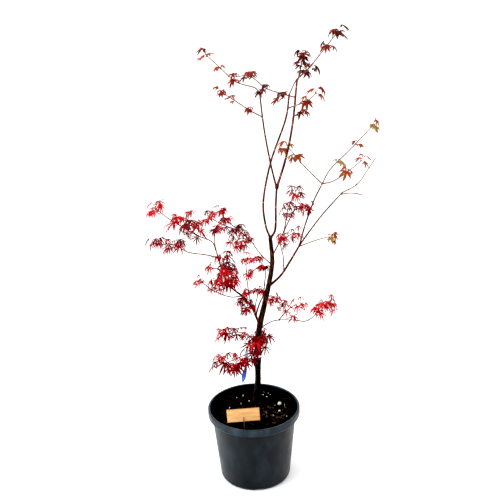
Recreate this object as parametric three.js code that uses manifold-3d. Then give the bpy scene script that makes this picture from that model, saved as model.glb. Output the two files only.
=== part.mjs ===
// A young red-leaved Japanese maple in a round plastic nursery pot, in millimetres, +Z up.
// The origin is the middle of the pot's flat underside. +X is the plant's right and -Y its front.
//
// The wood is a trunk with a fork at its top and boughs that leave it lower down. Every limb is
// one tapering solid that stands 0.3 mm clear of the wood that carries it. Each spray of foliage
// is one solid: a stem, its side twigs and leaf stalks, and palmate leaves fused to them.
import * as THREE from "three";
import Module from "manifold-3d";
import { mergeVertices } from "three/addons/utils/BufferGeometryUtils.js";

const wasm = await Module();
wasm.setup();

// ---------------------------------------------------------------- driving dimensions
const GAP = 0.3; // clearance between any two pieces
const FACETS = 24; // facets round the pot

const pot = {
  height: 200,
  rimRadius: 120, // outside of the rolled rim
  rimDepth: 20, // height of the rim's band
  lipWidth: 6, // flat top of the rim
  wallTop: 109, // outer radius of the wall under the rim
  footRadius: 88, // radius of the flat underside
  wall: 2.5,
  floor: 3,
  notches: 6, // drainage arches in the foot
  notchWidth: 22,
  notchHeight: 5,
  notchDepth: 14,
  notchTurn: -85, // degrees round to the first notch's middle
};

const soil = { level: 187, mound: 5, roughness: 1.6 };

const trunk = {
  foot: [4, 35], // where it leaves the soil
  legs: [[70, 82, -24], [85, 86, -74], [75, 84, -40], [95, 77, -22], [90, 79, -22], [70, 85, -120]],
  baseRadius: 8.4,
  tipRadius: 4.8,
  flare: 2.6, // extra radius at the very foot
  flareHeight: 14,
  graft: 2.4, // swelling where the maple was grafted on its rootstock
  graftAt: 148,
  graftLength: 22,
  scion: 2, // extra radius above the graft, which fades out towards the tip
};

// A limb is walked leg by leg: [length in mm, climb above level, heading], both in degrees.
// Heading is counted from +X towards +Y. `on` and `at` say where on its parent it starts, as a
// share of the parent's length. `thick` and `thin` are its diameters at its foot and its tip.
const limbs = {
  left_stem: {
    on: "trunk", at: 1, thick: 5.4, thin: 4.4,
    legs: [[35, 68, 145], [60, 72, 100], [95, 72, 45], [105, 68, 20], [60, 78, 35]],
  },
  right_stem: {
    on: "trunk", at: 1, thick: 6, thin: 5,
    legs: [[30, 62, -30], [65, 80, -80], [45, 80, -70]],
  },
  right_leader: {
    on: "right_stem", at: 1, thick: 6.2, thin: 4.4,
    legs: [[85, 70, -40], [85, 74, -50], [105, 80, -55]],
  },
  left_leader: {
    on: "right_stem", at: 1, thick: 4.8, thin: 3.6,
    legs: [[60, 74, 140], [80, 74, 125], [80, 80, 125]],
  },
  right_bough: {
    on: "trunk", at: 0.725, thick: 6.6, thin: 5,
    legs: [[40, 35, 20], [45, 48, 30], [45, 54, 25]],
  },
  right_inner_bough: {
    on: "right_bough", at: 1, thick: 4.2, thin: 3.2,
    legs: [[60, 74, -30], [70, 70, -30], [50, 64, -30]],
  },
  right_outer_bough: {
    on: "right_bough", at: 1, thick: 4.2, thin: 3.2,
    legs: [[50, 48, 25], [55, 42, 30], [65, 40, 25]],
  },
  low_left_bough: {
    on: "trunk", at: 0.49, thick: 6.6, thin: 3.2,
    legs: [[60, 66, -135], [50, 56, -145], [50, 47, -150], [50, 66, -147], [60, 75, -150]],
  },
  low_left_arm: {
    on: "low_left_bough", at: 1, thick: 3, thin: 2.4,
    legs: [[25, 68, -160], [40, 30, -165]],
  },
  inner_bough: {
    on: "low_left_bough", at: 0.13, thick: 4.6, thin: 2.6,
    legs: [[30, 56, 55], [25, 48, 50], [25, 68, 65]],
  },
  low_right_bough: {
    on: "trunk", at: 0.47, thick: 3.2, thin: 2.2,
    legs: [[45, 38, -35], [30, 24, -35], [40, 12, -30]],
  },
  mid_left_bough: {
    on: "trunk", at: 0.85, thick: 3.2, thin: 2.2,
    legs: [[40, 30, 140], [45, 40, 135]],
  },
  mid_right_bough: {
    on: "trunk", at: 0.9, thick: 3.8, thin: 2.8,
    legs: [[45, 58, -50], [45, 60, -55]],
  },
};

// A spray's stem is walked as a limb is. `nodes` is [first, last, count]: the shares of the stem
// where leaves grow. `leaf` is the length of a leaf's longest lobe. `side` is the length of the
// side twig that every node but the last bears, if any.
// `stalk` is a leaf stalk's length as a share of the leaf's, `spread` its angle to the stem and
// `rise` its upward share. `dip` is how far the blade points below level and `droop` how far its
// tips hang, in degrees.
const kinds = {
  young: { stalk: 0.4, spread: 60, rise: 0.4, dip: 26, droop: 20 },
  grown: { stalk: 0.55, spread: 62, rise: 0.6, dip: 46, droop: 26 },
};
const sprays = {
  top_tip: {
    kind: "young", on: "right_leader", at: 1, nodes: [0.7, 1, 2], leaf: 20,
    legs: [[35, 44, -20], [45, 50, -15], [56, 52, -15]],
  },
  top_front: {
    kind: "young", on: "right_leader", at: 0.97, nodes: [0.72, 1, 2], leaf: 20,
    legs: [[30, 60, -65], [44, 58, -80]],
  },
  top_back: {
    kind: "young", on: "left_stem", at: 1, nodes: [0.52, 0.7, 2], leaf: 21,
    legs: [[40, 60, 20], [40, 36, 20], [40, 48, 20]],
  },
  top_inner: {
    kind: "young", on: "right_leader", at: 0.85, nodes: [0.16, 0.72, 3], leaf: 20, side: 12,
    legs: [[30, 14, 165], [40, 16, 160], [45, 34, 160], [38, -4, 160]],
  },
  top_right_back: {
    kind: "young", on: "left_stem", at: 0.91, nodes: [0.58, 1, 2], leaf: 22,
    legs: [[25, 20, -10], [25, 22, -20], [30, 42, -20]],
  },
  top_right_front: {
    kind: "young", on: "right_leader", at: 0.7, nodes: [1, 1, 1], leaf: 17,
    legs: [[15, 6, -55], [25, 24, -65]],
  },
  left_leader_tip: {
    kind: "young", on: "left_leader", at: 1, nodes: [0.42, 1, 3], leaf: 19,
    legs: [[20, 54, 155], [50, 14, 155], [60, 38, 155], [36, 36, 150]],
  },
  left_leader_sprig: {
    kind: "young", on: "left_leader", at: 0.77, nodes: [0.3, 1, 3], leaf: 15,
    legs: [[40, 32, -155], [55, 36, -150], [34, 34, -150]],
  },
  right_inner_left: {
    kind: "young", on: "right_inner_bough", at: 1, nodes: [0.74, 1, 2], leaf: 20,
    legs: [[70, 46, -150], [40, 50, -150], [35, 50, -150]],
  },
  right_inner_up: {
    kind: "young", on: "right_inner_bough", at: 1, nodes: [0.34, 1, 3], leaf: 17,
    legs: [[40, 58, 18], [65, 39, 20], [80, 43, 14]],
  },
  right_inner_out: {
    kind: "young", on: "right_inner_bough", at: 1, nodes: [0.6, 1, 2], leaf: 20,
    legs: [[30, 20, -30], [42, 36, -32], [52, 42, -28]],
  },
  right_outer_tip: {
    kind: "young", on: "right_outer_bough", at: 1, nodes: [0.3, 0.75, 2], leaf: 0, side: 22,
    legs: [[45, 24, 15], [45, 50, 20], [35, 50, 25]],
  },
  right_outer_spur: {
    kind: "young", on: "right_outer_bough", at: 0.97, nodes: [0.6, 0.6, 1], leaf: 0, side: 14,
    legs: [[30, 14, -30], [35, 0, -35]],
  },
  right_low_spur: {
    kind: "young", on: "right_bough", at: 0.97, nodes: [1, 1, 1], leaf: 17,
    legs: [[25, 26, -15], [35, 24, -20], [26, 18, -20]],
  },
  mid_right_tip: {
    kind: "grown", on: "mid_right_bough", at: 1, nodes: [0.55, 1, 2], leaf: 24,
    legs: [[40, 66, -70], [40, 64, -75], [42, 60, -40]],
  },
  mid_right_out: {
    kind: "grown", on: "mid_right_bough", at: 0.97, nodes: [0.8, 1, 2], leaf: 20,
    legs: [[35, 62, 20], [26, 54, 20], [26, 8, 10]],
  },
  mid_right_low: {
    kind: "grown", on: "right_bough", at: 0.42, nodes: [0.74, 1, 2], leaf: 23, side: 12,
    legs: [[50, 68, -95], [50, 68, -105], [42, 40, -15]],
  },
  mid_left_tip: {
    kind: "grown", on: "mid_left_bough", at: 1, nodes: [0.34, 1, 3], leaf: 24,
    legs: [[40, 28, 145], [45, 14, 155], [36, 26, 160]],
  },
  mid_left_down: {
    kind: "grown", on: "mid_left_bough", at: 0.96, nodes: [0.04, 0.9, 3], leaf: 26,
    legs: [[25, 6, 140], [25, -20, 125]],
  },
  upper_left_back: {
    kind: "grown", on: "mid_left_bough", at: 0.98, nodes: [0.66, 1, 2], leaf: 24, side: 16,
    legs: [[45, 40, 165], [35, 42, 172], [22, 50, 160]],
  },
  arm_tip: {
    kind: "grown", on: "low_left_arm", at: 1, nodes: [0.5, 1, 2], leaf: 24,
    legs: [[35, 38, -160], [45, 38, -165], [40, 44, -160]],
  },
  arm_front: {
    kind: "grown", on: "low_left_arm", at: 0.97, nodes: [0.2, 1, 2], leaf: 25, side: 14,
    legs: [[30, 34, -110], [30, 28, -110]],
  },
  arm_back: {
    kind: "grown", on: "low_left_arm", at: 0.61, nodes: [0.6, 1, 2], leaf: 25, side: 14,
    legs: [[30, 24, 125], [45, 28, 140]],
  },
  left_low_tip: {
    kind: "grown", on: "low_left_bough", at: 0.92, nodes: [0.62, 1, 3], leaf: 24,
    legs: [[35, 24, -155], [45, 18, -160], [45, 36, -155], [42, 8, -155]],
  },
  left_rise: {
    kind: "grown", on: "low_left_bough", at: 0.87, nodes: [0.04, 1, 2], leaf: 21,
    legs: [[45, 64, 120], [30, 54, 90]],
  },
  left_dense_front: {
    kind: "grown", on: "low_left_bough", at: 0.72, nodes: [0.1, 1, 3], leaf: 27, side: 16,
    legs: [[25, 34, -68], [30, 12, -85]],
  },
  left_dense_back: {
    kind: "grown", on: "low_left_bough", at: 0.74, nodes: [0.4, 1, 2], leaf: 26, side: 16,
    legs: [[30, 22, 65], [22, 12, 95]],
  },
  left_dense_low: {
    kind: "grown", on: "low_left_bough", at: 0.6, nodes: [0.5, 1, 2], leaf: 22,
    legs: [[30, 26, -140], [30, 14, -132]],
  },
  left_low_twig: {
    kind: "grown", on: "low_left_bough", at: 0.42, nodes: [1, 1, 1], leaf: 20,
    legs: [[30, 0, -175], [45, 26, -175], [40, 44, -170]],
  },
  left_side_twig: {
    kind: "grown", on: "low_left_bough", at: 0.79, nodes: [1, 1, 1], leaf: 21,
    legs: [[12, 24, -165], [14, 10, -170]],
  },
  left_mid_side: {
    kind: "grown", on: "low_left_bough", at: 0.16, nodes: [1, 1, 1], leaf: 21,
    legs: [[26, 76, 60], [28, 62, 50]],
  },
  left_mid_twig: {
    kind: "grown", on: "low_left_bough", at: 0.25, nodes: [0.26, 1, 3], leaf: 21,
    legs: [[55, 72, 115], [62, 72, 100]],
  },
  low_left_front: {
    kind: "grown", on: "low_left_bough", at: 0.34, nodes: [0.5, 1, 2], leaf: 26,
    legs: [[25, 18, -85], [30, 16, -105]],
  },
  inner_tip: {
    kind: "grown", on: "inner_bough", at: 1, nodes: [0.55, 1, 2], leaf: 22,
    legs: [[40, 62, 80], [34, 34, 125]],
  },
  low_right_tip: {
    kind: "grown", on: "low_right_bough", at: 1, nodes: [0.62, 1, 3], leaf: 25,
    legs: [[35, 8, -30], [40, 42, -30], [50, 48, -35]],
  },
  low_right_front: {
    kind: "grown", on: "low_right_bough", at: 0.63, nodes: [0.42, 1, 2], leaf: 27,
    legs: [[35, 54, -30], [40, 42, -35]],
  },
  trunk_right: {
    kind: "grown", on: "trunk", at: 0.66, nodes: [0.72, 1, 2], leaf: 20,
    legs: [[28, 28, -55], [26, -8, -60]],
  },
  trunk_front: {
    kind: "grown", on: "trunk", at: 0.43, nodes: [0.5, 1, 2], leaf: 30,
    legs: [[24, 8, -85], [20, -12, -100]],
  },
  trunk_left: {
    kind: "grown", on: "trunk", at: 0.37, nodes: [0.55, 1, 3], leaf: 26,
    legs: [[45, 52, -145], [42, 32, -140], [38, 6, -145]],
  },
  trunk_low_left: {
    kind: "grown", on: "trunk", at: 0.34, nodes: [0.2, 0.96, 3], leaf: 33,
    legs: [[35, 2, -140], [40, -4, -145], [36, 0, -140]],
  },
  trunk_back: {
    kind: "grown", on: "trunk", at: 0.35, nodes: [0.6, 1, 2], leaf: 26,
    legs: [[30, 8, 90], [40, -6, 75]],
  },
};

const twig = { foot: 1.3, tip: 0.9, side: 0.8, root: 0.35 }; // radii

// A leaf's lobes: how far each turns from the middle one, in degrees, and its length as a share of
// the middle one's. `sinus` is the depth of the cuts between them. `room` is how far apart the
// middles of two blades of a spray must be, as a share of their summed lengths. `folded` is the
// cosine of the angle at the stalk past which a blade counts as folded back over it.
const blade = {
  turns: [-96, -46, 0, 46, 96],
  lengths: [0.66, 0.92, 1, 0.92, 0.66],
  sinus: 0.24,
  thickness: 1.1,
  room: 0.5,
  folded: 0.15,
};

const card = { width: 82, height: 35, thickness: 0.9, foot: [-26, -91, 211], lean: 4, tilt: 3 };
const pick = { radius: 1, prongHeight: 11, depth: 42 };
const tag = {
  at: 0.31, // share of the trunk where its ring hangs
  ring: 3, // half the ring's height
  width: 12,
  thickness: 1,
  legs: [[16, 35, 163], [14, -60, 165], [34, -87, 120], [50, -78, 180]],
};

// ---------------------------------------------------------------- shared tools
const radians = THREE.MathUtils.degToRad;

// Draws numbers from 0 to 1 by the Park-Miller rule, the same ones each time for a seed.
function drawer(seed) {
  let state = seed;
  return () => {
    state = (state * 16807) % 2147483647;
    return state / 2147483647;
  };
}

function seedOf(name) {
  let sum = 7;
  for (const letter of name) sum = (sum * 31 + letter.charCodeAt(0)) % 1000003;
  return sum + 1;
}

function headed(climb, heading) {
  const [c, h] = [radians(climb), radians(heading)];
  return new THREE.Vector3(Math.cos(c) * Math.cos(h), Math.cos(c) * Math.sin(h), Math.sin(c));
}

// The smooth line through the ends of the legs.
function walked(start, legs) {
  const points = [start.clone()];
  for (const [length, climb, heading] of legs)
    points.push(points.at(-1).clone().addScaledVector(headed(climb, heading), length));
  return new THREE.CatmullRomCurve3(points, false, "catmullrom", 0.5);
}

// A closed geometry through rings of equal count, with a flat fan over each end.
function loft(rings) {
  const n = rings[0].length;
  const points = rings.flat();
  const faces = [];
  for (let k = 0; k + 1 < rings.length; k++)
    for (let i = 0; i < n; i++) {
      const [a, b] = [k * n + i, k * n + ((i + 1) % n)];
      faces.push(a, b, b + n, a, b + n, a + n);
    }
  const last = (rings.length - 1) * n;
  for (let i = 1; i + 1 < n; i++) {
    faces.push(0, i + 1, i);
    faces.push(last, last + i, last + i + 1);
  }
  return new THREE.BufferGeometry().setFromPoints(points).setIndex(faces);
}

// A round tube along a curve whose radius is radiusAt(share of its length).
function tube(curve, radiusAt, sides, steps) {
  const frames = curve.computeFrenetFrames(steps, false);
  const rings = [];
  for (let k = 0; k <= steps; k++) {
    const centre = curve.getPointAt(k / steps);
    const radius = radiusAt(k / steps);
    rings.push(
      Array.from({ length: sides }, (_, i) => {
        const angle = (2 * Math.PI * i) / sides;
        return centre
          .clone()
          .addScaledVector(frames.normals[k], radius * Math.cos(angle))
          .addScaledVector(frames.binormals[k], radius * Math.sin(angle));
      }),
    );
  }
  return loft(rings);
}

function solidOf(geometry) {
  const bare = geometry.clone();
  bare.deleteAttribute("normal");
  bare.deleteAttribute("uv");
  const merged = mergeVertices(bare, 1e-4);
  return new wasm.Manifold(
    new wasm.Mesh({
      numProp: 3,
      vertProperties: new Float32Array(merged.attributes.position.array),
      triVerts: new Uint32Array(merged.index.array),
    }),
  );
}

// The largest body of a solid, without loose scraps and with sealed hollows filled.
function largest(solid) {
  return solid.decompose().reduce((a, b) => (b.volume() > a.volume() ? b : a));
}

function meshOf(name, solid, material) {
  const { vertProperties, triVerts } = solid.getMesh();
  const geometry = new THREE.BufferGeometry()
    .setAttribute("position", new THREE.BufferAttribute(vertProperties, 3))
    .setIndex(new THREE.BufferAttribute(triVerts, 1));
  geometry.computeVertexNormals();
  const mesh = new THREE.Mesh(geometry, material);
  mesh.name = name;
  return mesh;
}

function boxesMeet(a, b) {
  const [p, q] = [a.boundingBox(), b.boundingBox()];
  return [0, 1, 2].every((i) => p.min[i] <= q.max[i] && q.min[i] <= p.max[i]);
}

function touches(solid, others) {
  return others.some((other) => boxesMeet(solid, other) && solid.intersect(other).volume() > 0);
}

function material(color, roughness, metalness = 0) {
  return new THREE.MeshStandardMaterial({ color, roughness, metalness });
}

const materials = {
  pot: material(0x2f383d, 0.45),
  soil: material(0x17110d, 0.95),
  trunkBark: material(0x2c1c14, 0.8),
  limbBark: material(0x5a2a1c, 0.7),
  grownLeaf: material(0xa3141c, 0.55),
  youngLeaf: material(0xb0492a, 0.55),
  card: material(0xe0a052, 0.8),
  wire: material(0x2a2422, 0.5),
  tag: material(0x3f78d0, 0.4),
};

const plant = new THREE.Group();

// ---------------------------------------------------------------- pot
// The inner profile, from the floor's edge up to the lip, shared by the pot and the soil in it.
const innerProfile = [
  [pot.footRadius + 1.2, pot.floor],
  [pot.wallTop - pot.wall, pot.height - pot.rimDepth - 5],
  [pot.rimRadius - pot.lipWidth - 1.2, pot.height - pot.rimDepth],
  [pot.rimRadius - pot.lipWidth, pot.height],
];

function makePot() {
  const { height, rimRadius, rimDepth, lipWidth, wallTop, footRadius, floor } = pot;
  const profile = [
    [0, 0],
    [footRadius, 0],
    [footRadius + 4, 6],
    [wallTop, height - rimDepth - 4],
    [rimRadius - 2, height - rimDepth],
    [rimRadius, height - rimDepth + 4],
    [rimRadius, height - 4],
    [rimRadius - 2.4, height],
    ...innerProfile.toReversed(),
    [0, floor],
  ].map(([r, z]) => new THREE.Vector2(r, z));
  const lathe = new THREE.LatheGeometry(profile, FACETS).rotateX(Math.PI / 2);
  let body = solidOf(lathe);
  for (let k = 0; k < pot.notches; k++) {
    const arch = new THREE.BoxGeometry(2 * pot.notchDepth, pot.notchWidth, 2 * pot.notchHeight);
    arch.translate(footRadius + 4, 0, 0);
    arch.rotateZ(radians(pot.notchTurn + (360 * k) / pot.notches));
    body = body.subtract(solidOf(arch));
  }
  return body;
}

// ---------------------------------------------------------------- wood
const lines = {}; // the smooth line of every limb
const radiusOf = {}; // the radius of every limb, by share of its length
const kept = []; // every limb grown by the gap, which later pieces are cut clear of

function trunkRadius(share) {
  const height = share * lines.trunk.getLength();
  return (
    THREE.MathUtils.lerp(trunk.baseRadius, trunk.tipRadius, share) +
    trunk.flare * Math.exp(-height / trunk.flareHeight) +
    trunk.graft * Math.exp(-(((height - trunk.graftAt) / trunk.graftLength) ** 2)) +
    (trunk.scion * (1 - share)) / (1 + Math.exp((-2 * (height - trunk.graftAt)) / trunk.graftLength))
  );
}

// Adds the limb, grown by the gap, to what later pieces are cut clear of. It is stretched by the
// gap at its tip as well.
function keepClear(line, radiusAt, sides, steps) {
  const tip = line.getPointAt(1);
  const ahead = line.getTangentAt(1);
  const grownTube = solidOf(tube(line, (s) => radiusAt(s) + GAP, sides, steps));
  const cap = new THREE.LineCurve3(
    tip.clone().addScaledVector(ahead, -1),
    tip.clone().addScaledVector(ahead, GAP),
  );
  kept.push(grownTube.add(solidOf(tube(cap, () => radiusAt(1) + GAP, sides, 1))));
}

function clearOf(solid, others) {
  let left = solid;
  for (const other of others) if (boxesMeet(left, other)) left = left.subtract(other);
  return largest(left);
}

function makeTrunk() {
  const foot = new THREE.Vector3(...trunk.foot, soil.level);
  lines.trunk = walked(foot, trunk.legs);
  radiusOf.trunk = trunkRadius;
  const steps = 24;
  const body = solidOf(tube(lines.trunk, trunkRadius, 8, steps));
  keepClear(lines.trunk, trunkRadius, 8, steps);
  // The foot is cut off level with the soil.
  const below = new THREE.BoxGeometry(80, 80, 40).translate(...trunk.foot, soil.level - 20 + GAP);
  return largest(body.subtract(solidOf(below)));
}

function makeLimb(name, { on, at, legs, thick, thin }) {
  lines[name] = walked(lines[on].getPointAt(at), legs);
  radiusOf[name] = (share) => THREE.MathUtils.lerp(thick, thin, share) / 2;
  const steps = Math.ceil(lines[name].getLength() / 30);
  const body = solidOf(tube(lines[name], radiusOf[name], 6, steps));
  const cut = clearOf(body, kept);
  keepClear(lines[name], radiusOf[name], 6, steps);
  return cut;
}

// ---------------------------------------------------------------- foliage
// A leaf and its stalk, in one piece. The stalk runs from `foot`, inside the stem, to `at`. There
// the blade lies as a star of lobes, thickened at its middle, that points along `ahead` and faces
// `up`. The further out a point of the blade is, the lower it hangs.
function leafSolid(foot, at, ahead, up, length, droop) {
  const side = new THREE.Vector3().crossVectors(up, ahead).normalize();
  const face = new THREE.Vector3().crossVectors(ahead, side);
  const place = (reach, turn) => {
    const hang = radians(droop) * reach;
    return at
      .clone()
      .addScaledVector(ahead, reach * length * Math.cos(hang) * Math.cos(radians(turn)))
      .addScaledVector(side, reach * length * Math.cos(hang) * Math.sin(radians(turn)))
      .addScaledVector(face, -reach * length * Math.sin(hang));
  };
  const half = blade.thickness / 2;
  const rim = [at.clone().addScaledVector(side, -half)];
  blade.turns.forEach((turn, i) => {
    if (i) rim.push(place(blade.sinus, (blade.turns[i - 1] + turn) / 2));
    rim.push(place(blade.lengths[i], turn));
  });
  rim.push(at.clone().addScaledVector(side, half));
  const [top, bottom] = [1, -1].map((s) => at.clone().addScaledVector(face, s * half));
  const stalk = at.clone().sub(foot).normalize();
  const stalkSide = new THREE.Vector3().crossVectors(face, stalk).normalize();
  const stalkUp = new THREE.Vector3().crossVectors(stalk, stalkSide);
  const base = [[0.87, -0.5], [0, 1], [-0.87, -0.5]].map(([x, y]) =>
    foot.clone().addScaledVector(stalkSide, x * twig.root).addScaledVector(stalkUp, y * twig.root),
  );
  const n = rim.length;
  const [left, right, t, b, l, m, r] = [n - 1, 0, n, n + 1, n + 2, n + 3, n + 4];
  const faces = [];
  for (let i = 0; i + 1 < n; i++) faces.push(i, i + 1, t, i + 1, i, b);
  // A blade that folds back over its stalk is closed behind, and the stalk is let into it.
  if (stalk.dot(ahead) < blade.folded) {
    faces.push(left, right, t, right, left, b);
    const closed = new THREE.BufferGeometry().setFromPoints([...rim, top, bottom]).setIndex(faces);
    return solidOf(closed).add(rod(foot, at.clone().addScaledVector(stalk, half / 2), twig.root));
  }
  faces.push(left, m, t, left, l, m, t, r, right, t, m, r, right, r, b, b, l, left, b, r, l, l, r, m);
  return solidOf(new THREE.BufferGeometry().setFromPoints([...rim, top, bottom, ...base]).setIndex(faces));
}

function rod(from, to, radius) {
  return solidOf(tube(new THREE.LineCurve3(from, to), () => radius, 3, 1));
}

// The leaves and side twigs of a spray. At each node a pair of leaves stands across the stem, each
// pair turned a quarter from the one below. A stalk carries each leaf out and a little up, and the
// leaf hangs from its end. The last node, at the stem's tip, has one more leaf straight ahead.
// With `side` set, each node below the tip bears a side twig that ends in a pair of leaves.
function foliage(line, { nodes, leaf, kind, side }, draw) {
  const [first, last, count] = nodes;
  const { stalk, spread, rise, dip, droop } = kinds[kind];
  const pieces = [];
  const blades = [];
  const addLeaf = (from, along, across, reach = stalk) => {
    const size = leaf * (0.82 + 0.36 * draw());
    const angle = radians(spread * (0.8 + 0.4 * draw()));
    const out = along.clone().multiplyScalar(Math.cos(angle)).addScaledVector(across, Math.sin(angle));
    out.z += rise * (0.6 + 0.8 * draw());
    out.normalize();
    const down = radians(dip * (0.4 + 1.2 * draw()));
    const roll = 0.7 * (draw() - 0.5);
    const at = from.clone().addScaledVector(out, reach * size);
    const level = new THREE.Vector3(out.x, out.y, 0).normalize();
    const ahead = level.clone().multiplyScalar(Math.cos(down));
    ahead.z = -Math.sin(down);
    const up = level.multiplyScalar(Math.sin(down));
    up.z = Math.cos(down);
    up.applyAxisAngle(ahead, roll);
    const middle = at.clone().addScaledVector(ahead, 0.4 * size);
    const free = blades.every((b) => b.middle.distanceTo(middle) > blade.room * (b.size + size));
    if (!leaf || !free) return;
    blades.push({ middle, size });
    pieces.push(leafSolid(from, at, ahead, up, size, droop));
  };
  for (let k = 0; k < count; k++) {
    const share = count > 1 ? first + ((last - first) * k) / (count - 1) : first;
    const atTip = share > 0.97;
    const from = line.getPointAt(atTip ? 0.97 : share);
    const along = line.getTangentAt(share);
    const level = new THREE.Vector3().crossVectors(along, new THREE.Vector3(0, 0, 1)).normalize();
    const turn = (k % 2) * 90 + 40 * (draw() - 0.5);
    const across = level.applyAxisAngle(along, radians(turn));
    if (side && !atTip) {
      const out = along.clone().multiplyScalar(0.6).addScaledVector(across, k % 2 ? 0.8 : -0.8).normalize();
      const end = from.clone().addScaledVector(out, side);
      pieces.push(rod(from, end, twig.side));
      const beside = new THREE.Vector3().crossVectors(out, across).normalize();
      addLeaf(end.clone().addScaledVector(out, -1), out, beside);
      addLeaf(end.clone().addScaledVector(out, -1), out, beside.negate());
    }
    addLeaf(from, along, across);
    addLeaf(from, along, across.clone().negate());
    if (atTip) addLeaf(line.getPointAt(0.995), along, across.clone().multiplyScalar(0.15), 1.8 * stalk);
  }
  return pieces;
}

const grownSprays = []; // every finished spray, which later leaves must not touch

function makeSpray(name, spec) {
  const line = walked(lines[spec.on].getPointAt(spec.at), spec.legs);
  const radiusAt = (share) => THREE.MathUtils.lerp(twig.foot, twig.tip, share);
  const steps = Math.ceil(line.getLength() / 26);
  const stem = solidOf(tube(line, radiusAt, 3, steps));
  const obstacles = [...kept, ...grownSprays];
  const parts = [clearOf(stem, obstacles)];
  for (const piece of foliage(line, spec, drawer(seedOf(name)))) {
    if (!touches(piece, obstacles)) parts.push(piece);
  }
  const spray = largest(wasm.Manifold.union(parts));
  grownSprays.push(spray);
  return spray;
}

// ---------------------------------------------------------------- plant label
// A stiff card held in the fork of a wire pick that stands in the soil at the front of the pot.
function cardPlacing() {
  return new THREE.Matrix4()
    .makeTranslation(...card.foot)
    .multiply(new THREE.Matrix4().makeRotationX(radians(-card.lean)))
    .multiply(new THREE.Matrix4().makeRotationY(radians(-card.tilt)));
}

function makeCard() {
  const sheet = new THREE.BoxGeometry(card.width, card.thickness, card.height);
  return solidOf(sheet.translate(0, 0, card.height / 2).applyMatrix4(cardPlacing()));
}

// The pick, or with `grow` the room that it needs in the soil.
function makePick(grow = 0) {
  const { prongHeight, depth } = pick;
  const radius = pick.radius + grow;
  const apart = card.thickness / 2 + GAP + pick.radius;
  const prong = (y, low) => {
    const line = new THREE.LineCurve3(new THREE.Vector3(0, y, low), new THREE.Vector3(0, y, prongHeight));
    return solidOf(tube(line, () => radius, 6, 1));
  };
  const bridge = new THREE.BoxGeometry(2 * radius, 2 * (apart + radius), 2).translate(0, 0, -1.6);
  const shaft = new THREE.CylinderGeometry(radius, radius, depth, 6).rotateX(Math.PI / 2);
  const parts = [prong(-apart, -2), prong(apart, -2), solidOf(bridge)];
  parts.push(solidOf(shaft.translate(0, 0, -depth / 2 - 1 - grow)));
  return wasm.Manifold.union(parts).transform(cardPlacing().elements);
}

// ---------------------------------------------------------------- soil
// The soil fills the pot to just under the lip. Its top is a round grid that swells gently and
// rises to a low mound about the trunk.
function soilHeight(x, y) {
  const [tx, ty] = trunk.foot;
  const mound = soil.mound * Math.exp(-((x - tx) ** 2 + (y - ty) ** 2) / 40 ** 2);
  const swell = Math.sin(x / 17 + 1) * Math.cos(y / 13) + 0.6 * Math.sin(x / 7 + y / 9);
  return soil.level - soil.mound + mound + soil.roughness * swell * (1 - mound / soil.mound);
}

function makeSoil() {
  const edge = innerProfile.at(-2);
  const ring = (radius, heightAt) =>
    Array.from({ length: FACETS }, (_, i) => {
      const angle = (2 * Math.PI * i) / FACETS;
      const [x, y] = [radius * Math.cos(angle), radius * Math.sin(angle)];
      return new THREE.Vector3(x, y, heightAt(x, y));
    });
  const rings = innerProfile.slice(0, 3).map(([r, z], i) => ring(r - GAP, () => z + (i ? 0 : GAP)));
  for (const share of [0.995, 0.7, 0.4, 0.12])
    rings.push(ring((edge[0] - GAP) * share, soilHeight));
  const body = solidOf(loft(rings));
  return clearOf(body, [kept[0], makePick(GAP)]);
}

// ---------------------------------------------------------------- hanging tag
// A strip of plastic on a ring round the trunk, which hangs down behind the low leaves.
function makeTag() {
  const middle = lines.trunk.getPointAt(tag.at);
  const hole = trunkRadius(tag.at) + 2 * GAP;
  const ringProfile = [
    new THREE.Vector2(hole, -tag.ring),
    new THREE.Vector2(hole + tag.thickness, -tag.ring),
    new THREE.Vector2(hole + tag.thickness, tag.ring),
    new THREE.Vector2(hole, tag.ring),
    new THREE.Vector2(hole, -tag.ring),
  ];
  const band = new THREE.LatheGeometry(ringProfile, 8).rotateX(Math.PI / 2);
  const start = new THREE.Vector3(-hole, 4, 0);
  const line = walked(start, tag.legs);
  const steps = 6;
  const rings = [];
  for (let k = 0; k <= steps; k++) {
    const share = k / steps;
    const centre = line.getPointAt(share);
    const across = new THREE.Vector3(1, 0.3, 0).normalize();
    const out = new THREE.Vector3().crossVectors(line.getTangentAt(share), across).normalize();
    const half = (tag.width / 2) * Math.min(1, 0.35 + 1.3 * share);
    rings.push(
      [[1, 1], [-1, 1], [-1, -1], [1, -1]].map(([a, b]) =>
        centre
          .clone()
          .addScaledVector(across, a * half)
          .addScaledVector(out, (b * tag.thickness) / 2),
      ),
    );
  }
  const whole = solidOf(band).add(solidOf(loft(rings)));
  return clearOf(whole.translate(middle.x, middle.y, middle.z), kept);
}

// ---------------------------------------------------------------- assembly
const potSolid = makePot();
const trunkSolid = makeTrunk();
const soilSolid = makeSoil();
plant.add(meshOf("pot", potSolid, materials.pot));
plant.add(meshOf("soil", soilSolid, materials.soil));
plant.add(meshOf("trunk", trunkSolid, materials.trunkBark));
for (const [name, spec] of Object.entries(limbs))
  plant.add(meshOf(name, makeLimb(name, spec), materials.limbBark));
const tagSolid = makeTag();
kept.push(tagSolid);
for (const [name, spec] of Object.entries(sprays)) {
  const leafMaterial = materials[spec.kind + "Leaf"];
  plant.add(meshOf("foliage_" + name, makeSpray(name, spec), leafMaterial));
}
plant.add(meshOf("label_card", makeCard(), materials.card));
plant.add(meshOf("label_pick", makePick(), materials.wire));
plant.add(meshOf("hang_tag", tagSolid, materials.tag));

export default plant;
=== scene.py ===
import math

import bpy
import numpy as np
from mathutils import Matrix


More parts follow.
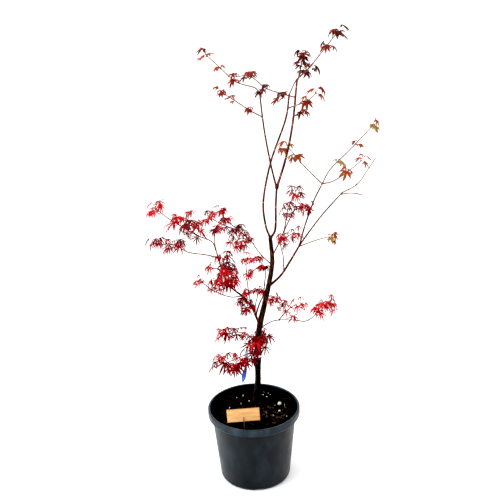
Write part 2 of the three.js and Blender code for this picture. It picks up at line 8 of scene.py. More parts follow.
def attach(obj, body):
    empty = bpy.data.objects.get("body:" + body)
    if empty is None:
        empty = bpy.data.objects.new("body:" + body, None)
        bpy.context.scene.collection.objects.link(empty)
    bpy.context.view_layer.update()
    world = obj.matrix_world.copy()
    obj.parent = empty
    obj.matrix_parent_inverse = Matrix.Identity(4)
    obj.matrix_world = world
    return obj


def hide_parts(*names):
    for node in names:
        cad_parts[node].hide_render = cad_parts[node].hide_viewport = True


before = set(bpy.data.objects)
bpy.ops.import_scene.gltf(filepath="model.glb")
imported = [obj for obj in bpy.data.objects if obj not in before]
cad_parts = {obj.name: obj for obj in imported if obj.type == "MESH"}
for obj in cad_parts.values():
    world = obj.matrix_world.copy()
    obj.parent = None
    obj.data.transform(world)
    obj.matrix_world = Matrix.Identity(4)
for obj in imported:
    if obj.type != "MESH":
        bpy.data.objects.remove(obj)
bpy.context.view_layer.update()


# ---------------------------------------------------------------- nursery pot
# A round plant pot of blue-black polypropylene, moulded in one piece. Its rim is rolled out and
# down to stiffen the mouth, and arches in the foot let the water run out from under it.
# Every size in this file is in millimetres, and lay() turns it to metres.
pot_height, pot_sides = 200, 288
pot_outline = [  # radius, height and roundness of each corner, from the underside to the floor
    (0, 0, 0), (77.6, 0, 0), (78.4, 0, 0), (88, 0, 2), (92, 6, 9), (109, 176, 1.5),
    (118, 180, 1.5), (120, 182.6, 1.5), (120, pot_height, 2.6), (114, pot_height, 2),
    (112.8, 180, 3), (106.5, 175, 3), (89.2, 3, 3), (0, 3, 0),
]
shaded_inside_radii, lit_rim_heights = (113.4, 115), (176, 186)  # radii where the painted shade inside the mouth gives way to the rim, and heights where the wall gives way to the rim's painted highlight
arch_count, arch_turn, arch_width, arch_height, arch_reach = 6, -85, 22, 5, 78


def rounded(corners, steps=8, longest=6.0):
    """The outline through (x, y, roundness) corners. Each corner becomes the arc of the circle of
    that radius that touches both its sides. Straights are divided until none is over longest."""
    spots = np.array([corner[:2] for corner in corners], float)
    bends = [spots[:1]]
    for before, here, after, (_, _, radius) in zip(spots, spots[1:], spots[2:], corners[1:]):
        if not radius:
            bends.append(here[None])
            continue
        back, on = [(end - here) / np.linalg.norm(end - here) for end in (before, after)]
        half = 0.5 * math.acos(back @ on)
        inward = (back + on) / np.linalg.norm(back + on)
        centre = here + inward * radius / math.sin(half)
        first, last = [here + way * radius / math.tan(half) - centre for way in (back, on)]
        sweep = math.atan2(first[0] * last[1] - first[1] * last[0], first @ last)
        angles = math.atan2(first[1], first[0]) + sweep * np.linspace(0, 1, steps)
        bends.append(centre + radius * np.stack([np.cos(angles), np.sin(angles)], -1))
    bends = np.concatenate(bends + [spots[-1:]])
    pieces = [bends[:1]]
    for a, b in zip(bends, bends[1:]):
        count = max(1, math.ceil(np.linalg.norm(b - a) / longest))
        pieces.append(a + (b - a) * np.linspace(0, 1, count + 1)[1:, None])
    return np.concatenate(pieces)


def turned(outline, sides):
    """Points round the z axis: each (radius, height) of the outline at `sides` equal angles."""
    angles = 2 * np.pi * np.arange(sides) / sides
    radius, height = outline[:, :1], outline[:, 1:]
    return np.stack([radius * np.cos(angles), radius * np.sin(angles), height + 0 * angles], -1)


def closed_faces(rows, columns, copies=1):
    """Faces over rows x columns points. Each row closes on itself. A fan closes the first row to
    the point stored after the grid, and the last row to the one after that. With copies, the
    same faces over as many such sets of points, one set after another."""
    here, beside = np.arange(columns), (np.arange(columns) + 1) % columns
    row = columns * np.arange(rows - 1)[:, None]
    quads = np.stack([row + here, row + beside, row + columns + beside, row + columns + here], -1)
    foot, tip, last = rows * columns + 0 * here, rows * columns + 1 + 0 * here, columns * (rows - 1)
    fans = np.concatenate([
        np.stack([foot, beside, here], -1), np.stack([last + here, last + beside, tip], -1)])
    shift = (rows * columns + 2) * np.arange(copies)[:, None, None]
    return [(quads.reshape(-1, 4) + shift).reshape(-1, 4), (fans + shift).reshape(-1, 3)]


def lay(name, points, faces, material, sharp=50):
    """One mesh piece in metres from points in millimetres and arrays of faces. Edges that turn
    by more than `sharp` degrees stay crisp, and the rest are shaded round."""
    mesh = bpy.data.meshes.new(name)
    corners = (0.001 * points.reshape(-1, 3)).tolist()
    mesh.from_pydata(corners, [], sum((group.tolist() for group in faces), []))
    mesh.materials.append(material)
    mesh.shade_smooth()
    mesh.set_sharp_from_angle(angle=math.radians(sharp))
    piece = bpy.data.objects.new(name, mesh)
    bpy.context.scene.collection.objects.link(piece)
    return piece


def keep(piece, slot, *nodes):
    """Fixes a piece to the plant, in place of the named solids. The slot is not used."""
    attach(piece, "root")
    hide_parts(*nodes)


def shade(code):
    """The linear colour of a six-digit sRGB code."""
    parts = np.array([int(code[k:k + 2], 16) / 255 for k in (0, 2, 4)])
    linear = np.where(parts <= 0.04045, parts / 12.92, ((parts + 0.055) / 1.055) ** 2.4)
    return (*linear.tolist(), 1.0)


def finish(name, roughness, colour="808080", **sockets):
    """A new material with one Principled surface, its sockets set by name."""
    material = bpy.data.materials.new(name)
    material.use_nodes = True
    surface = material.node_tree.nodes["Principled BSDF"]
    surface.inputs["Roughness"].default_value = roughness
    surface.inputs["Base Color"].default_value = shade(colour)
    for socket, value in sockets.items():
        surface.inputs[socket.replace("_", " ")].default_value = value
    return material


def grain(material, size, detail=3.0, stretch=(1, 1, 1)):
    """Noise on Object coordinates in blotches of about `size` millimetres, divided by stretch."""
    nodes, links = material.node_tree.nodes, material.node_tree.links
    place, scale = nodes.new("ShaderNodeTexCoord"), nodes.new("ShaderNodeMapping")
    noise = nodes.new("ShaderNodeTexNoise")
    scale.inputs["Scale"].default_value = stretch
    noise.inputs["Scale"].default_value = 1000 / size
    noise.inputs["Detail"].default_value = detail
    links.new(place.outputs["Object"], scale.inputs["Vector"])
    links.new(scale.outputs["Vector"], noise.inputs["Vector"])
    return noise.outputs["Fac"]


def tinted(material, factor, stops):
    """Colours from (share, sRGB code) stops, picked by a factor. Returns the colour."""
    ramp = material.node_tree.nodes.new("ShaderNodeValToRGB")
    band = ramp.color_ramp
    while len(band.elements) < len(stops):
        band.elements.new(0.5)
    for element, (share, code) in zip(band.elements, stops):
        element.position, element.color = share, shade(code)
    material.node_tree.links.new(factor, ramp.inputs["Fac"])
    return ramp.outputs["Color"]


def varied(material, socket, factor, low, high):
    """Lets a factor move one of the surface's number sockets between low and high."""
    tree = material.node_tree
    span = tree.nodes.new("ShaderNodeMapRange")
    span.inputs["From Min"].default_value, span.inputs["From Max"].default_value = 0.3, 0.7
    span.inputs["To Min"].default_value, span.inputs["To Max"].default_value = low, high
    tree.links.new(factor, span.inputs["Value"])
    tree.links.new(span.outputs["Result"], tree.nodes["Principled BSDF"].inputs[socket])


def painted(material, colour):
    """Feeds a colour to the surface's base."""
    tree = material.node_tree
    tree.links.new(colour, tree.nodes["Principled BSDF"].inputs["Base Color"])


def embossed(material, height, depth, strength=0.6):
    """Relief from a height factor, `depth` millimetres deep."""
    tree = material.node_tree
    bump = tree.nodes.new("ShaderNodeBump")
    bump.inputs["Distance"].default_value = 0.001 * depth
    bump.inputs["Strength"].default_value = strength
    tree.links.new(height, bump.inputs["Height"])
    tree.links.new(bump.outputs["Normal"], tree.nodes["Principled BSDF"].inputs["Normal"])


def at_height(material, low, high):
    """A factor that rises from 0 to 1 between two heights in millimetres."""
    tree = material.node_tree
    place, split = tree.nodes.new("ShaderNodeTexCoord"), tree.nodes.new("ShaderNodeSeparateXYZ")
    span = tree.nodes.new("ShaderNodeMapRange")
    span.inputs["From Min"].default_value = low / 1000
    span.inputs["From Max"].default_value = high / 1000
    tree.links.new(place.outputs["Object"], split.inputs["Vector"])
    tree.links.new(split.outputs["Z"], span.inputs["Value"])
    return span.outputs["Result"]


def mixed(material, factor, first, second):
    """Two colours mixed by a factor."""
    tree = material.node_tree
    mix = tree.nodes.new("ShaderNodeMix")
    mix.data_type = "RGBA"
    for socket, value in (("Factor", factor), ("A", first), ("B", second)):
        tree.links.new(value, mix.inputs[socket])
    return mix.outputs["Result"]


def from_axis(material, low, high):
    """A factor that rises from 0 to 1 between two distances from the upright axis."""
    tree = material.node_tree
    place, flat = tree.nodes.new("ShaderNodeTexCoord"), tree.nodes.new("ShaderNodeVectorMath")
    reach, span = tree.nodes.new("ShaderNodeVectorMath"), tree.nodes.new("ShaderNodeMapRange")
    flat.operation, reach.operation = "MULTIPLY", "LENGTH"
    flat.inputs[1].default_value = (1, 1, 0)
    span.inputs["From Min"].default_value = low / 1000
    span.inputs["From Max"].default_value = high / 1000
    tree.links.new(place.outputs["Object"], flat.inputs[0])
    tree.links.new(flat.outputs["Vector"], reach.inputs[0])
    tree.links.new(reach.outputs["Value"], span.inputs["Value"])
    return span.outputs["Result"]


pot_plastic = finish("blue_black_plastic", 0.34, Specular_IOR_Level=0.14)
scuffs = grain(pot_plastic, 38, 5, (1, 1, 0.45))
# Painted light: inside the mouth the plastic is coloured near black as painted shade, and the rim above
# the wall is coloured paler as a painted highlight.
lit_rim_and_shaded_inside = mixed(
    pot_plastic, from_axis(pot_plastic, *shaded_inside_radii),
    tinted(pot_plastic, scuffs, [(0.3, "040507"), (0.7, "0b0f12")]),
    tinted(pot_plastic, scuffs, [(0.3, "12191e"), (0.5, "1f2a31"), (0.72, "35434c")]))
painted(pot_plastic, mixed(
    pot_plastic, at_height(pot_plastic, *lit_rim_heights),
    tinted(pot_plastic, scuffs, [(0.3, "06080a"), (0.5, "0d1216"), (0.72, "1b242b")]), lit_rim_and_shaded_inside))
varied(pot_plastic, "Roughness", grain(pot_plastic, 22, 6, (1, 1, 0.6)), 0.28, 0.46)
embossed(pot_plastic, grain(pot_plastic, 1.2, 2), 0.12, 0.35)

pot_profile = rounded(pot_outline)
pot_grid = turned(pot_profile[1:-1], pot_sides)

# Under each arch the outside of the foot is lifted to a flat-topped curve (one less a fourth power).
bearing = np.degrees(np.arctan2(pot_grid[..., 1], pot_grid[..., 0])) - arch_turn
aside = (bearing + 180 / arch_count) % (360 / arch_count) - 180 / arch_count
offset = np.hypot(pot_grid[..., 0], pot_grid[..., 1]) * np.radians(aside)
arch = arch_height * np.clip(1 - np.abs(2 * offset / arch_width) ** 4, 0, 1) ** 0.35
under = np.hypot(pot_grid[..., 0], pot_grid[..., 1]) > arch_reach
outside = np.arange(len(pot_grid))[:, None] < np.argmax(pot_profile[1:-1, 1] >= pot_height)
pot_grid[..., 2] = np.where(under & outside, np.maximum(pot_grid[..., 2], arch), pot_grid[..., 2])
pot_ends = np.array([[0, 0, 0], [0, 0, pot_profile[-1, 1]]], float)
pot = lay("nursery_pot", np.concatenate([pot_grid.reshape(-1, 3), pot_ends]),
          closed_faces(*pot_grid.shape[:2]), pot_plastic)
keep(pot, "pot", "pot")


# ---------------------------------------------------------------- potting soil
# Damp peat and composted bark, settled below the rim and heaped a little about the trunk. White
# perlite, bark chips and splinters of wood lie loose on top.
soil_level, soil_heap, heap_width, soil_swell, soil_radius = 187, 5, 40, 1.6, 112.4
soil_wall, soil_columns = [(88.6, 3.4), (106.1, 174.6), (112.3, 179.6)], 220
trunk_foot = (4.0, 35.0)
rng, ripple_count = np.random.default_rng(11), 60
ripple_ways = rng.uniform(0, 2 * np.pi, (2, ripple_count))  # the heading and start of each ripple
ripple_lengths = np.geomspace(26, 4.5, ripple_count)
perlite_count, chip_count, splinter_count, crumb_count = 16, 60, 24, 1200
chip_spot = (62.0, -38.0)  # where the bark chips lie closest
placed_stones = np.array([  # across, back and size of the largest pale stones
    (68, 32, 13), (67, 4, 7), (-64, 24, 4), (-28, 84, 4), (26, 81, 4), (36, 70, 4), (-12, 49, 5),
])


def soil_height(x, y):
    """A slow swell that fades out under a bell-shaped heap about the trunk, with sixty sine
    ripples on it, each as deep as a fixed share of its own length."""
    near = np.exp(-((x - trunk_foot[0]) ** 2 + (y - trunk_foot[1]) ** 2) / heap_width**2)
    swell = np.sin(x / 17 + 1) * np.cos(y / 13) + 0.6 * np.sin(x / 7 + y / 9)
    heading, start = ripple_ways
    along = np.multiply.outer(x, np.cos(heading)) + np.multiply.outer(y, np.sin(heading))
    ripples = 0.011 * ripple_lengths * np.sin(2 * np.pi * along / ripple_lengths + start)
    return (soil_level - soil_heap + soil_heap * near + soil_swell * swell * (1 - near)
            + ripples.sum(-1))


def lumps(centres, sizes, rng, rows=3, columns=6):
    """Small stones: a ball of rows x columns points, each pushed in or out by up to a quarter,
    stretched to its own three sizes and turned at random about all three axes."""
    count = len(centres)
    rise = np.pi * (np.arange(rows) + 1) / (rows + 1)
    about = 2 * np.pi * np.arange(columns) / columns
    ball = np.stack([np.outer(np.sin(rise), np.cos(about)), np.outer(np.sin(rise), np.sin(about)),
                     np.outer(-np.cos(rise), np.ones(columns))], -1).reshape(-1, 3)
    ball = np.concatenate([ball, [[0, 0, -1], [0, 0, 1]]])
    shape = ball * rng.uniform(0.75, 1.0, (count, len(ball), 1)) * sizes[:, None] / 2
    for first, second in ((0, 1), (1, 2), (0, 1)):
        turn = rng.uniform(0, 2 * np.pi, (count, 1))
        a, b = shape[..., first].copy(), shape[..., second].copy()
        shape[..., first] = a * np.cos(turn) - b * np.sin(turn)
        shape[..., second] = a * np.sin(turn) + b * np.cos(turn)
    return centres[:, None] + shape, closed_faces(rows, columns, count)


def grained(name, roughness, blotches, stops, relief, depth, strength=0.6, colour="808080", **sockets):
    """A new material: its colour follows one grain through the stops, and its relief another. A
    grain is given by its size, detail and stretch."""
    material = finish(name, roughness, colour, **sockets)
    painted(material, tinted(material, grain(material, *blotches), stops))
    embossed(material, grain(material, *relief), depth, strength)
    return material


def strewn(count, rng, sink, towards=None, spread=0.42):
    """Places on the soil, sunk a little into it: even over its area, or with their distance from
    a spot cut to the share `spread`."""
    radius, angle = (soil_radius - 6) * np.sqrt(rng.random(count)), 2 * np.pi * rng.random(count)
    spots = np.stack([radius * np.cos(angle), radius * np.sin(angle)], -1)
    if towards is not None:
        spots = towards + spread * (spots - towards)
    return np.column_stack([spots, soil_height(spots[:, 0], spots[:, 1]) - sink])


def scatter(name, material, count, sink, smallest, largest, towards=None, rows=3, columns=6):
    """A count of loose bits on the soil as one piece, each with sizes between the two given."""
    places = strewn(count, rng, sink, towards)
    sizes = rng.uniform(smallest, largest, (count, 3))
    keep(lay(name, *lumps(places, sizes, rng, rows, columns), material), "soil", "soil")


# The top is a disc of rings, and the side follows the inside of the pot down to its floor.
soil_rows = np.linspace(0.012, 1, 76) * soil_radius
soil_angles = 2 * np.pi * np.arange(soil_columns) / soil_columns
soil_x, soil_y = np.outer(soil_rows, np.cos(soil_angles)), np.outer(soil_rows, np.sin(soil_angles))
soil_top = np.stack([soil_x, soil_y, soil_height(soil_x, soil_y)], -1)
soil_side = turned(np.array(soil_wall), soil_columns)
soil_grid = np.concatenate([soil_side, soil_top[::-1]])
soil_middle = float(soil_height(np.array(0.0), np.array(0.0)))
soil_ends = np.array([[0, 0, soil_wall[0][1]], [0, 0, soil_middle]])

peat = grained("damp_peat", 0.95, (4, 8), [(0.35, "040303"), (0.55, "0b0806"), (0.75, "1e150f")],
               (1.6, 8), 0.9, 0.9, Specular_IOR_Level=0.1)
soil = lay("potting_soil", np.concatenate([soil_grid.reshape(-1, 3), soil_ends]),
           closed_faces(*soil_grid.shape[:2]), peat)
keep(soil, "soil", "soil")

crumb_peat = grained("peat_crumbs", 0.95, (9, 4), [(0.35, "040302"), (0.55, "0d0907"), (0.7, "271b13")],
                     (1, 5), 0.4, Specular_IOR_Level=0.1)
scatter("peat_crumbs", crumb_peat, crumb_count, 0.2, 1.6, 5.5)

perlite_white = grained("perlite", 0.9, (1.5, 4), [(0.3, "b9b3a6"), (0.6, "ece8dd")], (0.8, 4), 0.3)
placed = np.column_stack([placed_stones[:, :2], soil_height(*placed_stones.T[:2]) + 0.3])
perlite = lay("perlite", *lumps(
    np.concatenate([strewn(perlite_count, rng, -0.3), placed]),
    np.concatenate([rng.uniform(1.4, 3.6, (perlite_count, 3)),
                    placed_stones[:, 2:] * rng.uniform(0.7, 1.1, (len(placed_stones), 3))]), rng),
    perlite_white)
keep(perlite, "soil", "soil")

bark_chip = grained("bark_chips", 0.9, (12, 5), [(0.3, "180e09"), (0.5, "321c12"), (0.7, "5a3822")],
                    (1.2, 5, (1, 1, 3)), 0.5)
scatter("bark_chips", bark_chip, chip_count, -0.4, (4, 2.5, 1), (11, 6, 2.2), np.array(chip_spot))

split_wood = grained("wood_splinters", 0.8, (10, 4),
                     [(0.35, "4e3220"), (0.55, "7a5636"), (0.7, "a8855c")], (0.8, 4, (1, 4, 1)), 0.3)
scatter("wood_splinters", split_wood, splinter_count, -0.4, (3, 0.7, 0.5), (10, 1.9, 1.1), columns=5)


# ---------------------------------------------------------------- trunk and limbs
# Living maple wood. The trunk is a grafted stem that forks at its top, and the boughs leave it
# lower down. Old bark is near black and finely furrowed, young bark is smooth, red-brown and
# ringed with pale scars where leaves once stood.
trunk_legs = [
    (70, 82, -24), (85, 86, -74), (75, 84, -40), (95, 77, -22), (90, 79, -22), (70, 85, -120),
]
trunk_base, trunk_tip, root_flare, flare_height = 8.4, 4.8, 2.6, 14
graft_swelling, graft_at, graft_length, scion_swelling = 2.4, 148, 22, 2
bark_turns = (300, 430)  # heights between which the trunk's bark goes from black to brown

# Each limb: the wood it grows from, where on it as a share of its length, its diameters at foot
# and tip, and its legs as (length, degrees above level, heading in degrees from +X to +Y).
limbs = {
    "left_stem": ("trunk", 1, 5.4, 4.4,
        [(35, 68, 145), (60, 72, 100), (95, 72, 45), (105, 68, 20), (60, 78, 35)]),
    "right_stem": ("trunk", 1, 6, 5,
        [(30, 62, -30), (65, 80, -80), (45, 80, -70)]),
    "right_leader": ("right_stem", 1, 6.2, 4.4,
        [(85, 70, -40), (85, 74, -50), (105, 80, -55)]),
    "left_leader": ("right_stem", 1, 4.8, 3.6,
        [(60, 74, 140), (80, 74, 125), (80, 80, 125)]),
    "right_bough": ("trunk", 0.725, 6.6, 5,
        [(40, 35, 20), (45, 48, 30), (45, 54, 25)]),
    "right_inner_bough": ("right_bough", 1, 4.2, 3.2,
        [(60, 74, -30), (70, 70, -30), (50, 64, -30)]),
    "right_outer_bough": ("right_bough", 1, 4.2, 3.2,
        [(50, 48, 25), (55, 42, 30), (65, 40, 25)]),
    "low_left_bough": ("trunk", 0.49, 6.6, 3.2,
        [(60, 66, -135), (50, 56, -145), (50, 47, -150), (50, 66, -147), (60, 75, -150)]),
    "low_left_arm": ("low_left_bough", 1, 3, 2.4,
        [(25, 68, -160), (40, 30, -165)]),
    "inner_bough": ("low_left_bough", 0.13, 4.6, 2.6,
        [(30, 56, 55), (25, 48, 50), (25, 68, 65)]),
    "low_right_bough": ("trunk", 0.47, 3.2, 2.2,
        [(45, 38, -35), (30, 24, -35), (40, 12, -30)]),
    "mid_left_bough": ("trunk", 0.85, 3.2, 2.2,
        [(40, 30, 140), (45, 40, 135)]),
    "mid_right_bough": ("trunk", 0.9, 3.8, 2.8,
        [(45, 58, -50), (45, 60, -55)]),
}


def unit(ways):
    """The same directions, one long each."""
    return ways / np.linalg.norm(ways, axis=-1, keepdims=True)


def walked(start, legs):
    """The smooth line from a start through the ends of the legs, as 401 points. Between two ends
    it is a cubic whose slopes are half the step between the neighbours (Catmull-Rom)."""
    lengths, climbs, headings = np.array(legs, float).T
    climbs, headings = np.radians(climbs), np.radians(headings)
    steps = lengths * np.array([np.cos(climbs) * np.cos(headings), np.cos(climbs) * np.sin(headings),
                                np.sin(climbs)])
    ends = np.concatenate([[start], start + np.cumsum(steps.T, 0)])
    ends = np.concatenate([[2 * ends[0] - ends[1]], ends, [2 * ends[-1] - ends[-2]]])
    place = np.linspace(0, len(legs), 401)
    leg = np.minimum(place.astype(int), len(legs) - 1)
    t = (place - leg)[:, None]
    before, here, on, after = (ends[leg + k] for k in range(4))
    leave, reach = 0.5 * (on - before), 0.5 * (after - here)
    return ((2 * t**3 - 3 * t**2 + 1) * here + (t**3 - 2 * t**2 + t) * leave
            + (3 * t**2 - 2 * t**3) * on + (t**3 - t**2) * reach)


def length_of(line):
    """The length of a line of points: the sum of its steps."""
    return np.linalg.norm(np.diff(line, axis=0), axis=1).sum()


def point_at(line, share):
    """The points at shares of a line's length."""
    run = np.concatenate([[0], np.cumsum(np.linalg.norm(np.diff(line, axis=0), axis=1))])
    return np.stack([np.interp(share, run / run[-1], line[:, k]) for k in range(3)], -1)


def way_at(line, share):
    """The direction of a line at a share of its length."""
    return unit(point_at(line, min(share + 0.002, 1)) - point_at(line, max(share - 0.002, 0)))


def carried(paths, radii, columns):
    """Round tubes along many paths at once, as points and faces. The sections start square to
    each path and are turned no more than it turns (parallel transport). radii has one value for
    each path point, or one for each point of the section there. Flat fans close both ends."""
    count, rows = paths.shape[:2]
    along = unit(np.gradient(paths, axis=1))
    across = np.empty_like(along)
    latest = np.cross(along[:, 0], (0.31, 0.17, 0.935))
    for row in range(rows):
        latest = unit(latest - (latest * along[:, row]).sum(-1, keepdims=True) * along[:, row])
        across[:, row] = latest
    other = np.cross(along, across)
    angles = 2 * np.pi * np.arange(columns) / columns
    radii = radii if radii.ndim == 3 else radii[..., None] * np.ones(columns)
    points = (paths[:, :, None] + (radii * np.cos(angles))[..., None] * across[:, :, None]
              + (radii * np.sin(angles))[..., None] * other[:, :, None])
    ends = np.stack([paths[:, 0], paths[:, -1]], 1)
    return np.concatenate([points.reshape(count, -1, 3), ends], 1), closed_faces(rows, columns, count)


def trunk_radius(share):
    """An even taper, swollen at the foot, in a bell shape at the graft, and a little above it."""
    height = share * length_of(lines["trunk"])
    return (trunk_base + (trunk_tip - trunk_base) * share
            + root_flare * np.exp(-height / flare_height)
            + graft_swelling * np.exp(-(((height - graft_at) / graft_length) ** 2))
            + scion_swelling * (1 - share) / (1 + np.exp(-2 * (height - graft_at) / graft_length)))


def furrows(angles, run, seed, waves=24, longest=90, shortest=14):
    """Relief round and along a limb: sine waves with whole numbers of crests round it, each with
    its own slope along it. The sum is scaled to run from about -1 to 1."""
    draw = np.random.default_rng(seed)
    crests = draw.integers(2, 11, waves)
    pitch = draw.choice([-1, 1], waves) * 2 * np.pi / draw.uniform(shortest, longest, waves)
    start = draw.uniform(0, 2 * np.pi, waves)
    wave = np.sin(angles[None, :, None] * crests + run[:, None, None] * pitch + start)
    return wave.sum(-1) / math.sqrt(2 * waves)


def scars(run, seed, spacing):
    """Closeness to a leaf scar, from 0 to 1: narrow bells along the limb, unevenly spaced."""
    draw = np.random.default_rng(seed)
    places = np.cumsum(draw.uniform(0.7, 1.3, 40) * spacing)
    return np.exp(-((run[:, None] - places) ** 2)).max(1)


def clothed(name, line, radius_at, columns, relief, spacing, material, collar=0.0):
    """A limb's bark: its taper with furrows in it, a ring at each scar, a collar that swells where
    it leaves its parent, and a dome over its tip."""
    length, seed = length_of(line), sum(map(ord, name))
    share = np.linspace(0, 1, max(12, int(length / 1.6)))
    path, run, radius = point_at(line, share), share * length, radius_at(share)
    radius = radius * (1 + collar * np.exp(-((run / (2.2 * radius[0])) ** 2)))
    ring = scars(run, seed, spacing)
    angles = 2 * np.pi * np.arange(columns) / columns
    section = radius[:, None] * (1 + relief * furrows(angles, run, seed))
    section += (0.07 * radius * ring)[:, None]
    bend = np.radians([25, 50, 72])
    dome = path[-1] + radius[-1] * np.sin(bend)[:, None] * way_at(line, 1)
    section = np.concatenate([section, section[-1] * np.cos(bend)[:, None]])
    points, faces = carried(np.concatenate([path, dome])[None], section[None], columns)
    points[0, -1] += 0.05 * radius[-1] * way_at(line, 1)
    piece = lay(name, points, faces, material, 60)
    shown = piece.data.attributes.new("scar", "FLOAT", "POINT")
    shown.data.foreach_set("value", np.concatenate([np.repeat(ring, columns),
                                                    np.zeros(3 * columns + 2)]))
    return piece


def scarred(material, colour, pale):
    """The colour, turned to a pale one on the leaf scars."""
    tree = material.node_tree
    ring, mix = tree.nodes.new("ShaderNodeAttribute"), tree.nodes.new("ShaderNodeMix")
    ring.attribute_name, mix.data_type = "scar", "RGBA"
    tree.links.new(ring.outputs["Fac"], mix.inputs["Factor"])
    tree.links.new(colour, mix.inputs["A"])
    mix.inputs["B"].default_value = shade(pale)
    return mix.outputs["Result"]


lines = {"trunk": walked(np.array([*trunk_foot, soil_level]), trunk_legs)}
old_bark = finish("old_bark", 0.72, Specular_IOR_Level=0.1)
streaks = grain(old_bark, 5, 7, (1, 1, 0.22))
# The brown bark above bark_turns is partly painted highlight: its palest golden streaks stand for lit
# edges, and the rest is the bark's own tone.
painted(old_bark, scarred(old_bark, mixed(
    old_bark, at_height(old_bark, *bark_turns),
    tinted(old_bark, streaks, [(0.3, "050303"), (0.5, "0d0806"), (0.68, "2a1c15")]),
    tinted(old_bark, streaks, [(0.3, "0a0403"), (0.5, "1e0d07"), (0.64, "46270f"), (0.78, "86602c")])),
    "2c1d12"))
embossed(old_bark, grain(old_bark, 1.6, 7, (1, 1, 0.3)), 0.5, 0.8)
trunk = clothed("trunk_bark_relief", lines["trunk"], trunk_radius, 40, 0.055, 42, old_bark)
keep(trunk, "trunk_bark", "trunk")

young_bark = finish("young_bark", 0.55, Specular_IOR_Level=0.1)
painted(young_bark, scarred(young_bark, tinted(
    young_bark, grain(young_bark, 7, 6, (1, 1, 0.25)),
    [(0.25, "1c0502"), (0.45, "3a0f06"), (0.6, "5e1e0c"), (0.78, "93481f")]), "b98c6e"))
embossed(young_bark, grain(young_bark, 1.2, 6, (1, 1, 0.35)), 0.25, 0.6)
for name, (parent, share, thick, thin, legs) in limbs.items():
    lines[name] = walked(point_at(lines[parent], share), legs)
    bough = clothed(name + "_bark", lines[name],
                    lambda part: 0.5 * (thick + (thin - thick) * part),
                    16, 0.035, 46, young_bark, 0.45)
    keep(bough, "bough_bark", name)


# ---------------------------------------------------------------- sprays of foliage
# Thin shoots with pairs of leaves at their nodes, each pair turned a quarter from the last. A
# grown leaf is cut almost to its stalk into seven narrow lobes that hang. A young one is small
# and stiff, with five pointed lobes. Short spurs about the nodes carry smaller leaves.
leaf_kinds = {  # stalk share, spread, rise, dip and droop as for the spray's rule below
    "young": (0.4, 60, 0.4, 26, 20), "grown": (0.55, 62, 0.6, 46, 26),
}
shoot_foot, shoot_tip, spur_radius, stalk_foot, stalk_tip = 1.5, 1.0, 0.7, 0.65, 0.45
leaf_share = {"young": 1.15, "grown": 1.04}
blade_room = 0.3  # how far apart blades stand, as a share of their summed sizes
tip_share = 0.97  # the last share of a shoot at which a pair of leaves can stand
lobe_shapes = {  # turns and lengths of the lobes, half their width, fold, curl
    "young": ([-80, -40, 0, 40, 80], [0.66, 0.9, 1.0, 0.9, 0.66], 0.13, 0.5, 0.3),
    "grown": ([-90, -60, -30, 0, 30, 60, 90], [0.6, 0.84, 0.96, 1.0, 0.96, 0.84, 0.6],
              0.068, 0.4, 0.1),
}
lobe_stations = np.array([0.05, 0.3, 0.56, 0.8, 1.0])
lobe_widths = np.array([0.5, 0.95, 1.0, 0.58])

